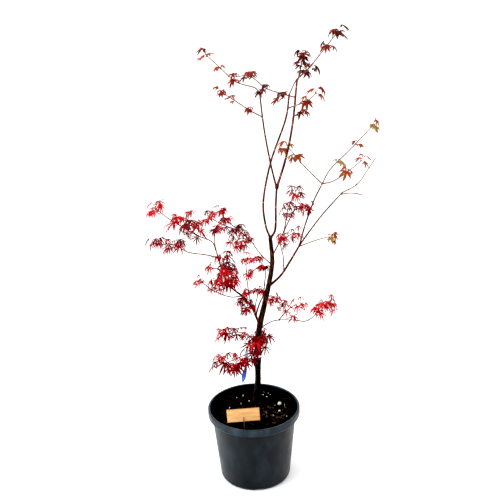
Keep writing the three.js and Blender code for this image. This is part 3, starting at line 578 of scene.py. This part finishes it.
# Each spray: its kind, the limb it grows from and where, the shares of its shoot at which the
# first and the last of its nodes stand and their number, its leaves' length, the length of its
# side twigs, and its legs as a limb's.
sprays = {
    "top_tip": ("young", "right_leader", 1, (0.7, 1, 2), 20, 0,
        [(35, 44, -20), (45, 50, -15), (56, 52, -15)]),
    "top_front": ("young", "right_leader", 0.97, (0.72, 1, 2), 20, 0,
        [(30, 60, -65), (44, 58, -80)]),
    "top_back": ("young", "left_stem", 1, (0.52, 0.7, 2), 21, 0,
        [(40, 60, 20), (40, 36, 20), (40, 48, 20)]),
    "top_inner": ("young", "right_leader", 0.85, (0.16, 0.72, 3), 20, 12,
        [(30, 14, 165), (40, 16, 160), (45, 34, 160), (38, -4, 160)]),
    "top_right_back": ("young", "left_stem", 0.91, (0.58, 1, 2), 22, 0,
        [(25, 20, -10), (25, 22, -20), (30, 42, -20)]),
    "top_right_front": ("young", "right_leader", 0.7, (1, 1, 1), 17, 0,
        [(15, 6, -55), (25, 24, -65)]),
    "left_leader_tip": ("young", "left_leader", 1, (0.42, 1, 3), 19, 0,
        [(20, 54, 155), (50, 14, 155), (60, 38, 155), (36, 36, 150)]),
    "left_leader_sprig": ("young", "left_leader", 0.77, (0.3, 1, 3), 15, 0,
        [(40, 32, -155), (55, 36, -150), (34, 34, -150)]),
    "right_inner_left": ("young", "right_inner_bough", 1, (0.74, 1, 2), 20, 0,
        [(70, 46, -150), (40, 50, -150), (35, 50, -150)]),
    "right_inner_up": ("young", "right_inner_bough", 1, (0.34, 1, 3), 17, 0,
        [(40, 58, 18), (65, 39, 20), (80, 43, 14)]),
    "right_inner_out": ("young", "right_inner_bough", 1, (0.6, 1, 2), 20, 0,
        [(30, 20, -30), (42, 36, -32), (52, 42, -28)]),
    "right_outer_tip": ("young", "right_outer_bough", 1, (0.3, 0.75, 2), 0, 22,
        [(45, 24, 15), (45, 50, 20), (35, 50, 25)]),
    "right_outer_spur": ("young", "right_outer_bough", 0.97, (0.6, 0.6, 1), 0, 14,
        [(30, 14, -30), (35, 0, -35)]),
    "right_low_spur": ("young", "right_bough", 0.97, (1, 1, 1), 17, 0,
        [(25, 26, -15), (35, 24, -20), (26, 18, -20)]),
    "mid_right_tip": ("grown", "mid_right_bough", 1, (0.55, 1, 2), 24, 0,
        [(40, 66, -70), (40, 64, -75), (42, 60, -40)]),
    "mid_right_out": ("grown", "mid_right_bough", 0.97, (0.8, 1, 2), 20, 0,
        [(35, 62, 20), (26, 54, 20), (26, 8, 10)]),
    "mid_right_low": ("grown", "right_bough", 0.42, (0.74, 1, 2), 23, 12,
        [(50, 68, -95), (50, 68, -105), (42, 40, -15)]),
    "mid_left_tip": ("grown", "mid_left_bough", 1, (0.34, 1, 3), 24, 0,
        [(40, 28, 145), (45, 14, 155), (36, 26, 160)]),
    "mid_left_down": ("grown", "mid_left_bough", 0.96, (0.04, 0.9, 3), 26, 0,
        [(25, 6, 140), (25, -20, 125)]),
    "upper_left_back": ("grown", "mid_left_bough", 0.98, (0.66, 1, 2), 24, 16,
        [(45, 40, 165), (35, 42, 172), (22, 50, 160)]),
    "arm_tip": ("grown", "low_left_arm", 1, (0.5, 1, 2), 24, 0,
        [(35, 38, -160), (45, 38, -165), (40, 44, -160)]),
    "arm_front": ("grown", "low_left_arm", 0.97, (0.2, 1, 2), 25, 14,
        [(30, 34, -110), (30, 28, -110)]),
    "arm_back": ("grown", "low_left_arm", 0.61, (0.6, 1, 2), 25, 14,
        [(30, 24, 125), (45, 28, 140)]),
    "left_low_tip": ("grown", "low_left_bough", 0.92, (0.62, 1, 3), 24, 0,
        [(35, 24, -155), (45, 18, -160), (45, 36, -155), (42, 8, -155)]),
    "left_rise": ("grown", "low_left_bough", 0.87, (0.04, 1, 2), 21, 0,
        [(45, 64, 120), (30, 54, 90)]),
    "left_dense_front": ("grown", "low_left_bough", 0.72, (0.1, 1, 3), 27, 16,
        [(25, 34, -68), (30, 12, -85)]),
    "left_dense_back": ("grown", "low_left_bough", 0.74, (0.4, 1, 2), 26, 16,
        [(30, 22, 65), (22, 12, 95)]),
    "left_dense_low": ("grown", "low_left_bough", 0.6, (0.5, 1, 2), 22, 0,
        [(30, 26, -140), (30, 14, -132)]),
    "left_low_twig": ("grown", "low_left_bough", 0.42, (1, 1, 1), 20, 0,
        [(30, 0, -175), (45, 26, -175), (40, 44, -170)]),
    "left_side_twig": ("grown", "low_left_bough", 0.79, (1, 1, 1), 21, 0,
        [(12, 24, -165), (14, 10, -170)]),
    "left_mid_side": ("grown", "low_left_bough", 0.16, (1, 1, 1), 21, 0,
        [(26, 76, 60), (28, 62, 50)]),
    "left_mid_twig": ("grown", "low_left_bough", 0.25, (0.26, 1, 3), 21, 0,
        [(55, 72, 115), (62, 72, 100)]),
    "low_left_front": ("grown", "low_left_bough", 0.34, (0.5, 1, 2), 26, 0,
        [(25, 18, -85), (30, 16, -105)]),
    "inner_tip": ("grown", "inner_bough", 1, (0.55, 1, 2), 22, 0,
        [(40, 62, 80), (34, 34, 125)]),
    "low_right_tip": ("grown", "low_right_bough", 1, (0.62, 1, 3), 25, 0,
        [(35, 8, -30), (40, 42, -30), (50, 48, -35)]),
    "low_right_front": ("grown", "low_right_bough", 0.63, (0.42, 1, 2), 27, 0,
        [(35, 54, -30), (40, 42, -35)]),
    "trunk_right": ("grown", "trunk", 0.66, (0.72, 1, 2), 20, 0,
        [(28, 28, -55), (26, -8, -60)]),
    "trunk_front": ("grown", "trunk", 0.43, (0.5, 1, 2), 30, 0,
        [(24, 8, -85), (20, -12, -100)]),
    "trunk_left": ("grown", "trunk", 0.37, (0.55, 1, 3), 26, 0,
        [(45, 52, -145), (42, 32, -140), (38, 6, -145)]),
    "trunk_low_left": ("grown", "trunk", 0.34, (0.2, 0.96, 3), 33, 0,
        [(35, 2, -140), (40, -4, -145), (36, 0, -140)]),
    "trunk_back": ("grown", "trunk", 0.35, (0.6, 1, 2), 26, 0,
        [(30, 8, 90), (40, -6, 75)]),
}

# Short spurs bear smaller leaves that stand closer, near the nodes: so many to each node.
spur_room, spur_leaf, spur_scatter = 0.22, 0.88, 0.11
default_spurs = {"young": 1, "grown": 3}
spur_counts = {
    "left_dense_front": 6, "left_dense_low": 2, "arm_tip": 4, "mid_left_down": 5, "left_low_tip": 4,
    "mid_right_tip": 4, "top_tip": 3, "top_front": 2, "trunk_right": 3, "left_mid_twig": 4,
    "low_right_front": 4, "low_right_tip": 2, "trunk_left": 2, "trunk_low_left": 6, "inner_tip": 6,
}


def seed_of(name):
    """A whole number from a name: each letter adds its code to 31 times the sum so far."""
    total = 7
    for letter in name:
        total = (total * 31 + ord(letter)) % 1000003
    return total + 1


def drawer(seed):
    """Numbers from 0 to 1 by the Park-Miller rule, the same ones each time for a seed."""
    state = seed
    while True:
        state = (state * 16807) % 2147483647
        yield state / 2147483647


def spun(way, axis, angle):
    """A direction turned about an axis (Rodrigues' rule)."""
    return (way * math.cos(angle) + np.cross(axis, way) * math.sin(angle)
            + axis * (axis @ way) * (1 - math.cos(angle)))


def grow(name, kind, on, at, nodes, leaf, side, legs):
    """One spray: its shoot, twigs as (foot, end) and leaves as (foot, base, ahead, up, size).
    At each node a pair of leaves stands across the shoot. A stalk carries each out and a little
    up, and the blade hangs from its end. The tip has one more leaf straight ahead. With side set,
    each lower node has a twig with its own pair. Spurs near the nodes have smaller pairs."""
    shoot = walked(point_at(lines[on], at), legs)
    leaf *= leaf_share[kind]
    stalk, spread, rise, dip, _ = leaf_kinds[kind]
    number, twigs, leaves = drawer(seed_of(name)), [], []

    def add_leaf(foot, along, across, reach=stalk, full=leaf, room=blade_room):
        """Adds a leaf turned from along towards across, unless its blade is too near another."""
        size = full * (0.82 + 0.36 * next(number))
        angle = math.radians(spread * (0.8 + 0.4 * next(number)))
        out = along * math.cos(angle) + across * math.sin(angle)
        out = unit(out + np.array([0, 0, rise * (0.6 + 0.8 * next(number))]))
        down = math.radians(dip * (0.4 + 1.2 * next(number)))
        roll = 0.7 * (next(number) - 0.5)
        base = foot + out * reach * size
        level = unit(out * (1, 1, 0))
        ahead = level * math.cos(down) - np.array([0, 0, math.sin(down)])
        up = spun(level * math.sin(down) + np.array([0, 0, math.cos(down)]), ahead, roll)
        middle = base + 0.4 * size * ahead
        clear = [np.linalg.norm(spot - middle) > room * (its_size + size)
                 for *_, its_size, spot in leaves]
        if full and all(clear):
            leaves.append((foot, base, ahead, up, size, middle))

    first, last, count = nodes
    shares = [first + (last - first) * k / max(count - 1, 1) for k in range(count)]
    for k, share in enumerate(shares):
        at_tip = share > tip_share
        foot, along = point_at(shoot, min(share, tip_share)), way_at(shoot, share)
        level = unit(np.cross(along, (0, 0, 1)))
        turn = (k % 2) * 90 + 40 * (next(number) - 0.5)
        across = spun(level, along, math.radians(turn))
        if side and not at_tip:
            out = unit(0.6 * along + (0.8 if k % 2 else -0.8) * across)
            end = foot + side * out
            twigs.append((foot, end))
            beside = unit(np.cross(out, across))
            add_leaf(end - out, out, beside)
            add_leaf(end - out, out, -beside)
        add_leaf(foot, along, across)
        add_leaf(foot, along, -across)
        if at_tip:
            add_leaf(point_at(shoot, 0.995), along, 0.15 * across, 1.8 * stalk)
    for k in range(count * spur_counts.get(name, default_spurs[kind]) if leaf else 0):
        share = np.clip(shares[k % count] + spur_scatter * (next(number) - 0.5), 0.05, tip_share)
        foot, along = point_at(shoot, share), way_at(shoot, share)
        across = spun(unit(np.cross(along, (0, 0, 1))), along, 2 * math.pi * next(number))
        out = unit(0.5 * along + across)
        end = foot + 0.4 * leaf * (0.6 + 0.8 * next(number)) * out
        had = len(leaves)
        beside = unit(np.cross(out, along))
        add_leaf(end, out, beside, stalk, spur_leaf * leaf, spur_room)
        add_leaf(end, out, -beside, stalk, spur_leaf * leaf, spur_room)
        if len(leaves) > had:
            twigs.append((foot, end))
    return shoot, twigs, leaves


def blades(leaves, kind, draw):
    """The lobes of many leaves as points and faces. A lobe is a three-sided blade: a left edge, a
    ridge and a right edge, wide as lobe_widths at lobe_stations of its length and closed to a
    point. Its line leaves the leaf's base at its own turn, and the further out a point is, the
    lower it hangs, by the droop angle times its reach, and by more towards the tip as it curls."""
    turns, lengths, width, fold, curl = lobe_shapes[kind]
    base, ahead, up = (np.array([leaf[k] for leaf in leaves])[:, None, None] for k in (1, 2, 3))
    size = np.array([leaf[4] for leaf in leaves])[:, None, None, None]
    count, number = len(leaves), len(turns)
    side = unit(np.cross(up, ahead))
    face = np.cross(ahead, side)
    turn = np.radians(turns)[None, :, None] + draw.normal(0, 0.09, (count, number, 1))
    turn = turn + draw.normal(0, 0.12, (count, number, 1)) * lobe_stations
    reach = np.array(lengths)[None, :, None] * draw.uniform(0.86, 1.08, (count, number, 1))
    reach = reach * lobe_stations
    droop = math.radians(leaf_kinds[kind][4]) * draw.uniform(0.6, 1.5, (count, 1, 1))
    hang = droop * reach * (1 + curl * reach)
    turn, reach, hang = turn[..., None], reach[..., None], hang[..., None]
    flat = reach * size * np.cos(hang)
    spots = (base + flat * np.cos(turn) * ahead + flat * np.sin(turn) * side
             - reach * size * np.sin(hang) * face)
    along = unit(np.gradient(spots, axis=2))
    across = unit(np.cos(turn) * side - np.sin(turn) * ahead)
    above = unit(np.cross(along, across))
    half = (width * size * np.array(lengths)[None, :, None, None]
            * lobe_widths[None, None, :, None] * draw.uniform(0.85, 1.15, (count, number, 1, 1)))
    spine, across, above = spots[:, :, :-1], across[:, :, :-1], above[:, :, :-1]
    section = np.stack([spine + half * across, spine + fold * half * above + 0.012 * size * above,
                        spine - half * across], 3)
    points = np.concatenate([section.reshape(count * number, -1, 3),
                             spots[:, :, :1].reshape(count * number, 1, 3),
                             spots[:, :, -1:].reshape(count * number, 1, 3)], 1)
    return points, closed_faces(len(lobe_stations) - 1, 3, count * number)


leaf_tints = {  # the kind of leaf that has each tint, and its colour
    "crimson": ("grown", "a30f14"), "scarlet": ("grown", "bf1c1e"), "deep_red": ("grown", "62070c"),
    "brick": ("young", "761f11"), "maroon": ("young", "3e0f0b"), "rust": ("young", "8e3c1a"),
    "amber": ("young", "967026"),
}
spray_tints = {  # the tint of most of a spray's leaves, then of the others
    "low_right_tip": ("crimson", "scarlet"), "left_mid_twig": ("scarlet", "crimson"),
    "left_low_twig": ("scarlet", "crimson"), "arm_tip": ("scarlet", "crimson"),
    "left_dense_back": ("deep_red", "crimson"), "trunk_low_left": ("deep_red", "crimson"),
    "low_left_front": ("deep_red", "crimson"), "trunk_front": ("deep_red", "crimson"),
    "mid_right_tip": ("deep_red", "crimson"),
    "top_tip": ("brick", "maroon"), "top_front": ("brick", "maroon"),
    "top_back": ("maroon", "brick"), "top_right_front": ("maroon", "brick"),
    "top_inner": ("brick", "maroon"), "left_leader_tip": ("brick", "rust"),
    "right_inner_left": ("rust", "amber"), "right_inner_up": ("amber", "rust"),
    "right_inner_out": ("rust", "brick"), "right_low_spur": ("amber", "rust"),
}
default_tints = {"young": ("brick", "rust"), "grown": ("crimson", "deep_red")}
main_share = 0.62  # how many of a spray's leaves have its main tint


def joined(parts):
    """Many sets of points and faces as one."""
    points, faces, first = [], [], 0
    for spots, groups in parts:
        spots = spots.reshape(-1, 3)
        points.append(spots)
        faces += [group + first for group in groups]
        first += len(spots)
    return np.concatenate(points), faces


def stalks(leaves):
    """Leaf stalks: straight lines from shoot to blade that sag by a tenth of their length."""
    foot, base = (np.array([leaf[k] for leaf in leaves])[:, None] for k in (0, 1))
    share = np.linspace(0, 1, 5)[:, None]
    sag = 0.1 * np.linalg.norm(base - foot, axis=-1, keepdims=True) * 4 * share * (1 - share)
    paths = foot + (base - foot) * share + sag * np.array([0, 0, 1.0])
    radii = stalk_foot + (stalk_tip - stalk_foot) * np.broadcast_to(share[:, 0], paths.shape[:2])
    return carried(paths, radii, 5)


def side_twigs(twigs):
    """Short twigs that taper from foot to end."""
    foot, end = (np.array([twig[k] for twig in twigs])[:, None] for k in (0, 1))
    share = np.linspace(0, 1, 4)[:, None]
    radii = spur_radius * (1.25 - 0.45 * np.broadcast_to(share[:, 0], (len(twigs), 4)))
    return carried(foot + (end - foot) * share, radii, 6)


def shoot_wood(shoots):
    """Shoots that taper from foot to tip, each with a collar at its foot and slight swellings
    every 12 mm, where its nodes are."""
    share = np.linspace(0, 1, 90)
    paths = np.stack([point_at(shoot, share) for shoot in shoots])
    run = share * np.array([[length_of(shoot)] for shoot in shoots])
    radii = (shoot_foot + (shoot_tip - shoot_foot) * share) * (1 + 0.6 * np.exp(-((run / 3) ** 2)))
    return carried(paths, radii * (1 + 0.12 * np.cos(np.pi * run / 12) ** 30), 8)


def buds(shoots, size, draw):
    """Pairs of buds on both sides of each shoot every 24 mm, and one at its tip: pointed drops."""
    starts, ways = [], []
    for shoot in shoots:
        for run in np.arange(18, length_of(shoot) - 4, 24):
            along = way_at(shoot, run / length_of(shoot))
            across = unit(np.cross(along, draw.normal(0, 1, 3)))
            for side in (across, -across):
                starts.append(point_at(shoot, run / length_of(shoot)) + 0.6 * side)
                ways.append(unit(along + 0.8 * side))
        starts.append(shoot[-1])
        ways.append(way_at(shoot, 1))
    share = np.array([0, 0.3, 0.65, 1.0])[:, None]
    paths = np.array(starts)[:, None] + size * share * np.array(ways)[:, None]
    radii = np.broadcast_to(size * np.array([0.16, 0.27, 0.2, 0.02]), paths.shape[:2])
    return carried(paths, radii, 6)


def tender_skin(name, colours, blotch):
    """A new material for buds and stalks: a fine grain of the shoot's paler colours."""
    material = finish(name, 0.45, colours[0][1], Specular_IOR_Level=0.2)
    painted(material, tinted(material, grain(material, blotch, 3), colours))
    return material


grown = {name: grow(name, *spray) for name, spray in sprays.items()}
groups = {
    "red": [name for name, spray in sprays.items() if spray[0] == "grown"],
    "bronze": [name for name, spray in sprays.items() if spray[0] == "young" and spray[4]],
    "bare": [name for name, spray in sprays.items() if not spray[4]],
}
slots = {"red": "red_foliage", "bronze": "bronze_foliage", "bare": "bare_twigs"}
bark_colours = {
    "red": [(0.3, "2a0606"), (0.5, "500d0c"), (0.7, "7c1c14")],
    "bronze": [(0.3, "3c160e"), (0.5, "662a16"), (0.7, "94502a")],
    "bare": [(0.3, "46230f"), (0.5, "7a4220"), (0.7, "a56c3c")],
}
draw = np.random.default_rng(29)
for group, names in groups.items():
    nodes = ["foliage_" + name for name in names]
    rind = grained(group + "_shoot_bark", 0.5, (6, 5), bark_colours[group], (1, 4), 0.15,
                   Specular_IOR_Level=0.15)
    shoots = [grown[name][0] for name in names]
    twigs = [twig for name in names for twig in grown[name][1]]
    leaves = [leaf for name in names for leaf in grown[name][2]]
    keep(lay(group + "_shoots", *joined([shoot_wood(shoots), side_twigs(twigs)]), rind),
         slots[group], *nodes)
    bud_skin = tender_skin(group + "_buds", bark_colours[group][1:], 2)
    keep(lay(group + "_buds", *buds(shoots, 3.6 if group == "bare" else 2.4, draw), bud_skin),
         slots[group], *nodes)
    if leaves:
        stalk_skin = tender_skin(group + "_leaf_stalks", bark_colours[group][1:], 8)
        keep(lay(group + "_leaf_stalks", *stalks(leaves), stalk_skin), slots[group], *nodes)

for tint, (kind, code) in leaf_tints.items():
    group = "red" if kind == "grown" else "bronze"
    mine, owners = [], []
    for name in groups[group]:
        main, other = spray_tints.get(name, default_tints[kind])
        picks = np.random.default_rng(seed_of(name)).random(len(grown[name][2]))
        chosen = [leaf for leaf, pick in zip(grown[name][2], picks)
                  if (main if pick < main_share else other) == tint]
        mine += chosen
        owners += ["foliage_" + name] * bool(chosen)
    skin = finish(tint + "_leaf", 0.5, code, Specular_IOR_Level=0.08)
    varied(skin, "Roughness", grain(skin, 9, 3), 0.42, 0.6)
    embossed(skin, grain(skin, 1.5, 4), 0.12, 0.5)
    piece = lay("leaves_" + tint, *blades(mine, kind, np.random.default_rng(seed_of(tint))), skin, 60)
    keep(piece, slots[group], *owners)


# ---------------------------------------------------------------- plant label
# A stiff card of brown kraft board, left blank. It stands in the fork of a dark wire pick that is
# pushed into the soil: one prong holds it in front and one behind.
card_width, card_height, card_thickness, card_round = 82, 35, 0.9, 1.2
card_foot, card_lean, card_tilt = np.array([-26, -91, 211.0]), 4, 3
wire_radius, prong_height, elbow_radius, wire_depth = 1.0, 11, 1.4, 42


def on_card(points):
    """Points of the card's own frame (along, through, up) at its place in the pot: tilted in its
    own plane first, then leant back, then moved to its foot."""
    tilt, lean = math.radians(-card_tilt), math.radians(-card_lean)
    x = points[..., 0] * math.cos(tilt) + points[..., 2] * math.sin(tilt)
    z = points[..., 2] * math.cos(tilt) - points[..., 0] * math.sin(tilt)
    y = points[..., 1] * math.cos(lean) - z * math.sin(lean)
    z = points[..., 1] * math.sin(lean) + z * math.cos(lean)
    return np.stack([x, y, z], -1) + card_foot


# The card's outline is drawn in rings that grow from its middle on the front and shrink again on
# the back. The two widest stand a little apart, so the edges are slightly broken.
side, top, half = card_width / 2, card_height / 2, card_thickness / 2
card_edge = rounded([(0, -top, 0), (side, -top, card_round), (side, top, card_round),
                     (-side, top, card_round), (-side, -top, card_round), (0, -top, 0)], 6, 3)[:-1]
shares = [0.03, 0.25, 0.5, 0.75, 0.94, 0.992]
card_rings = ([(share, -half) for share in shares] + [(1, -half * 0.6), (1, half * 0.6)]
              + [(share, half) for share in shares[::-1]])
card_grid = np.array([[(x * share, through, z * share + top) for x, z in card_edge]
                      for share, through in card_rings])
card_ends = np.array([[0, -half, top], [0, half, top]])
kraft = grained("kraft_board", 0.8, (9, 8, (0.25, 1, 1.6)),
                [(0.25, "b98450"), (0.5, "cf9a62"), (0.75, "dcae7c")],
                (0.9, 6, (0.3, 1, 1)), 0.15, Specular_IOR_Level=0.2)
card = lay("label_card_board", on_card(np.concatenate([card_grid.reshape(-1, 3), card_ends])),
           closed_faces(*card_grid.shape[:2]), kraft, 30)
keep(card, "label_card", "label_card")


def wire_along(path):
    """Round wire along a path on the card's own frame."""
    return carried(on_card(path)[None], np.full((1, len(path)), wire_radius), 12)


apart = card_thickness / 2 + 0.3 + wire_radius
bend = np.radians(np.linspace(0, 90, 7))[:, None]
wires = []
for way in (-1, 1):
    down = np.linspace((0, way * apart, prong_height), (0, way * apart, 0.6), 6)
    curve = np.hstack([0 * bend, -way * (1 - np.cos(bend)), -np.sin(bend)])
    elbow = (0, way * apart, 0) + elbow_radius * curve
    inside = np.array([[0, 0.4 * way, -1.6], [0, 0, -1.7]])
    wires.append(wire_along(np.concatenate([down, elbow, inside])))
wires.append(wire_along(np.linspace((0, 0, -0.6), (0, 0, -wire_depth), 24)))
dark_wire = grained("dark_wire", 0.45, (3, 5), [(0.3, "4a3f38"), (0.6, "6a5a50"), (0.8, "8a786a")],
                    (0.6, 3), 0.05, Metallic=0.6)
keep(lay("label_pick_wire", *joined(wires), dark_wire, 60), "label_pick", "label_pick")


# ---------------------------------------------------------------- hanging tag
# A strip of thin glossy plastic. Its pale lilac strap loops round the trunk, and the broad blue
# end twists as it hangs.
tag_share, tag_ring, tag_width, tag_thickness = 0.31, 3, 12, 0.8
tag_legs = [(16, 35, 163), (14, -60, 165), (34, -87, 120), (50, -78, 180)]
tag_split = 0.62  # share of its length where the strap ends and the blue end starts
tag_middle = point_at(lines["trunk"], tag_share)
tag_hole = float(trunk_radius(tag_share)) + 0.6
tag_line = walked(tag_middle + (-tag_hole, 4, 0), tag_legs)


def strip(first, last):
    """The strip between two shares of its length: a flat oval section that widens from its foot,
    turns slowly as it goes down and narrows to a round end."""
    rows, columns = 60, 20
    share = np.linspace(first, last, rows)
    path = point_at(tag_line, share)
    along = unit(np.gradient(path, axis=0))
    twist = 0.55 * np.sin(2.6 * np.pi * share)[:, None]
    flat = unit(np.array([1, 0.3, 0]) - (along @ (1, 0.3, 0))[:, None] * along)
    through = np.cross(along, flat)
    flat, through = (flat * np.cos(twist) + through * np.sin(twist),
                     through * np.cos(twist) - flat * np.sin(twist))
    half = 0.5 * tag_width * np.minimum(1, 0.35 + 1.3 * share)
    half = half * np.sqrt(np.clip((1.004 - share) / 0.14, 0, 1))
    angles = 2 * np.pi * np.arange(columns) / columns
    wide, thick = np.cos(angles), 0.5 * tag_thickness * np.sin(angles)
    grid = (path[:, None] + (half[:, None] * wide)[..., None] * flat[:, None]
            + thick[None, :, None] * through[:, None])
    return np.concatenate([grid.reshape(-1, 3), path[[0, -1]]]), closed_faces(rows, columns)


ring_outline = rounded([(tag_hole, 0, 0), (tag_hole, tag_ring, 0.4), (tag_hole + 1, tag_ring, 0.4),
                        (tag_hole + 1, -tag_ring, 0.4), (tag_hole, -tag_ring, 0.4),
                        (tag_hole, -0.01, 0)], 4, 2)
ring_grid = turned(ring_outline[::-1], 48) + tag_middle
ring_sides, _ = closed_faces(*ring_grid.shape[:2])

# The ring has no ends: a seam joins the last row of its outline to the first.
rows, columns = ring_grid.shape[:2]
here, beside = np.arange(columns), (np.arange(columns) + 1) % columns
seam = np.stack([(rows - 1) * columns + here, (rows - 1) * columns + beside, beside, here], -1)

strap_plastic = grained("lilac_strap", 0.3, (14, 3),
                        [(0.3, "b9b4dc"), (0.55, "d3cfe9"), (0.75, "e9e6f5")],
                        (7, 2), 0.3, 0.4, "cfcbe6", Coat_Weight=0.3)
strap = lay("tag_strap", *joined([(ring_grid, [ring_sides, seam]), strip(0.0, tag_split)]),
            strap_plastic, 60)
keep(strap, "hang_tag", "hang_tag")
# Painted highlight: the pale blues in the tag's grain are the gloss's highlights painted into its
# colour, and the deeper blues are its own.
blue_plastic_painted_highlights = grained("blue_tag_painted_highlights", 0.28, (12, 4, (1, 1, 0.5)),
                       [(0.3, "1f4fae"), (0.55, "3a7bdb"), (0.78, "86aeec")],
                       (6, 2), 0.4, 0.5, "2f6fd2", Coat_Weight=0.4)
keep(lay("tag_end", *strip(tag_split, 1.0), blue_plastic_painted_highlights, 60), "hang_tag", "hang_tag")


# ---------------------------------------------------------------- studio
# A white floor that runs to a round white backdrop, one broad lamp high on the left, two weaker
# ones low on the left and on the right, and the camera at eye height in front of the plant.
floor_size, drum_radius, drum_foot, drum_height, drum_sides = 60000, 25000, -10, 15000, 96
bright_way = (-0.25, 0.68, 0.69)  # the direction from which most light comes
sky_span = (-0.6, 0.9, 0.15, 2.2)  # least and most closeness to that way, and the light at each
camera_place, camera_pitch, camera_roll, camera_pan = (0, -2.1, 1.465), 21.5, -1.8, 0.08
camera_reach = 925 / 500  # the lens's length as a share of the width of the picture
white_floor = finish("white_floor", 0.9, "f4f4f4")
floor_corners = 0.5 * floor_size * np.array([[-1, -1, 0], [1, -1, 0], [1, 1, 0], [-1, 1, 0]])
floor = lay("floor", floor_corners, [np.array([[0, 1, 2, 3]])], white_floor)

# The backdrop is a drum that the light passes through.
white_cloth = finish("white_backdrop", 1.0, "ffffff",
                     Emission_Color=(1, 1, 1, 1), Emission_Strength=1.0)
drum = turned(np.array([[drum_radius, drum_foot], [drum_radius, drum_height]], float), drum_sides)
drum_ends = np.array([[0, 0, drum_foot], [0, 0, drum_height]], float)
backdrop = lay("backdrop", np.concatenate([drum.reshape(-1, 3), drum_ends]),
               closed_faces(2, drum_sides), white_cloth)
for ray in ("diffuse", "glossy", "transmission", "volume_scatter", "shadow"):
    setattr(backdrop, "visible_" + ray, False)

# The sky is white, and brighter the closer a direction is to bright_way.
world = bpy.data.worlds.new("white_surround")
world.use_nodes = True
tree = world.node_tree
look, glow = tree.nodes.new("ShaderNodeTexCoord"), tree.nodes.new("ShaderNodeMapRange")
along = tree.nodes.new("ShaderNodeVectorMath")
along.operation = "DOT_PRODUCT"
along.inputs[1].default_value = bright_way
for socket, value in zip(("From Min", "From Max", "To Min", "To Max"), sky_span):
    glow.inputs[socket].default_value = value
tree.links.new(look.outputs["Generated"], along.inputs[0])
tree.links.new(along.outputs["Value"], glow.inputs["Value"])
tree.links.new(glow.outputs["Result"], tree.nodes["Background"].inputs["Strength"])
tree.nodes["Background"].inputs["Color"].default_value = (1, 1, 1, 1)
bpy.context.scene.world = world


def lamp(name, place, aim, size, power, colour=(1, 1, 1)):
    """A square area lamp that faces a point."""
    light = bpy.data.lights.new(name, "AREA")
    light.size, light.energy, light.color = size, power, colour
    holder = bpy.data.objects.new(name, light)
    back = unit(np.array(place, float) - np.array(aim, float))
    right = unit(np.cross((0, 0, 1), back))
    turn = np.eye(4)
    turn[:3, :3], turn[:3, 3] = np.stack([right, np.cross(back, right), back], 1), place
    holder.matrix_world = Matrix(turn.tolist())
    bpy.context.scene.collection.objects.link(holder)


lamp("key_lamp", (-1.8, -1.4, 2.6), (0, 0, 0.5), 1.2, 45)
lamp("low_lamp", (-1.6, -0.5, 0.35), (0, 0, 0.1), 0.6, 22, (0.7, 0.9, 1))
lamp("fill_lamp", (2.2, -1.0, 1.4), (0, 0, 0.5), 1.5, 14)

pitch, roll, pan = (math.radians(angle) for angle in (camera_pitch, camera_roll, camera_pan))
ahead = np.array([math.sin(pan) * math.cos(pitch), math.cos(pan) * math.cos(pitch), -math.sin(pitch)])
right = np.array([math.cos(pan), -math.sin(pan), 0])
above = np.cross(right, ahead)
turn = np.eye(4)
turn[:3, 0] = math.cos(roll) * right + math.sin(roll) * above
turn[:3, 1] = math.cos(roll) * above - math.sin(roll) * right
turn[:3, 2], turn[:3, 3] = -ahead, camera_place
camera_data = bpy.data.cameras.new("camera")
camera_data.sensor_width, camera_data.lens = 36, 36 * camera_reach
camera = bpy.data.objects.new("camera", camera_data)
camera.matrix_world = Matrix(turn.tolist())
bpy.context.scene.collection.objects.link(camera)
bpy.context.scene.camera = camera
view = bpy.context.scene.view_settings
view.view_transform, view.use_curve_mapping = "Standard", True
view.curve_mapping.black_level = (0.012, 0.012, 0.012)
view.curve_mapping.update()
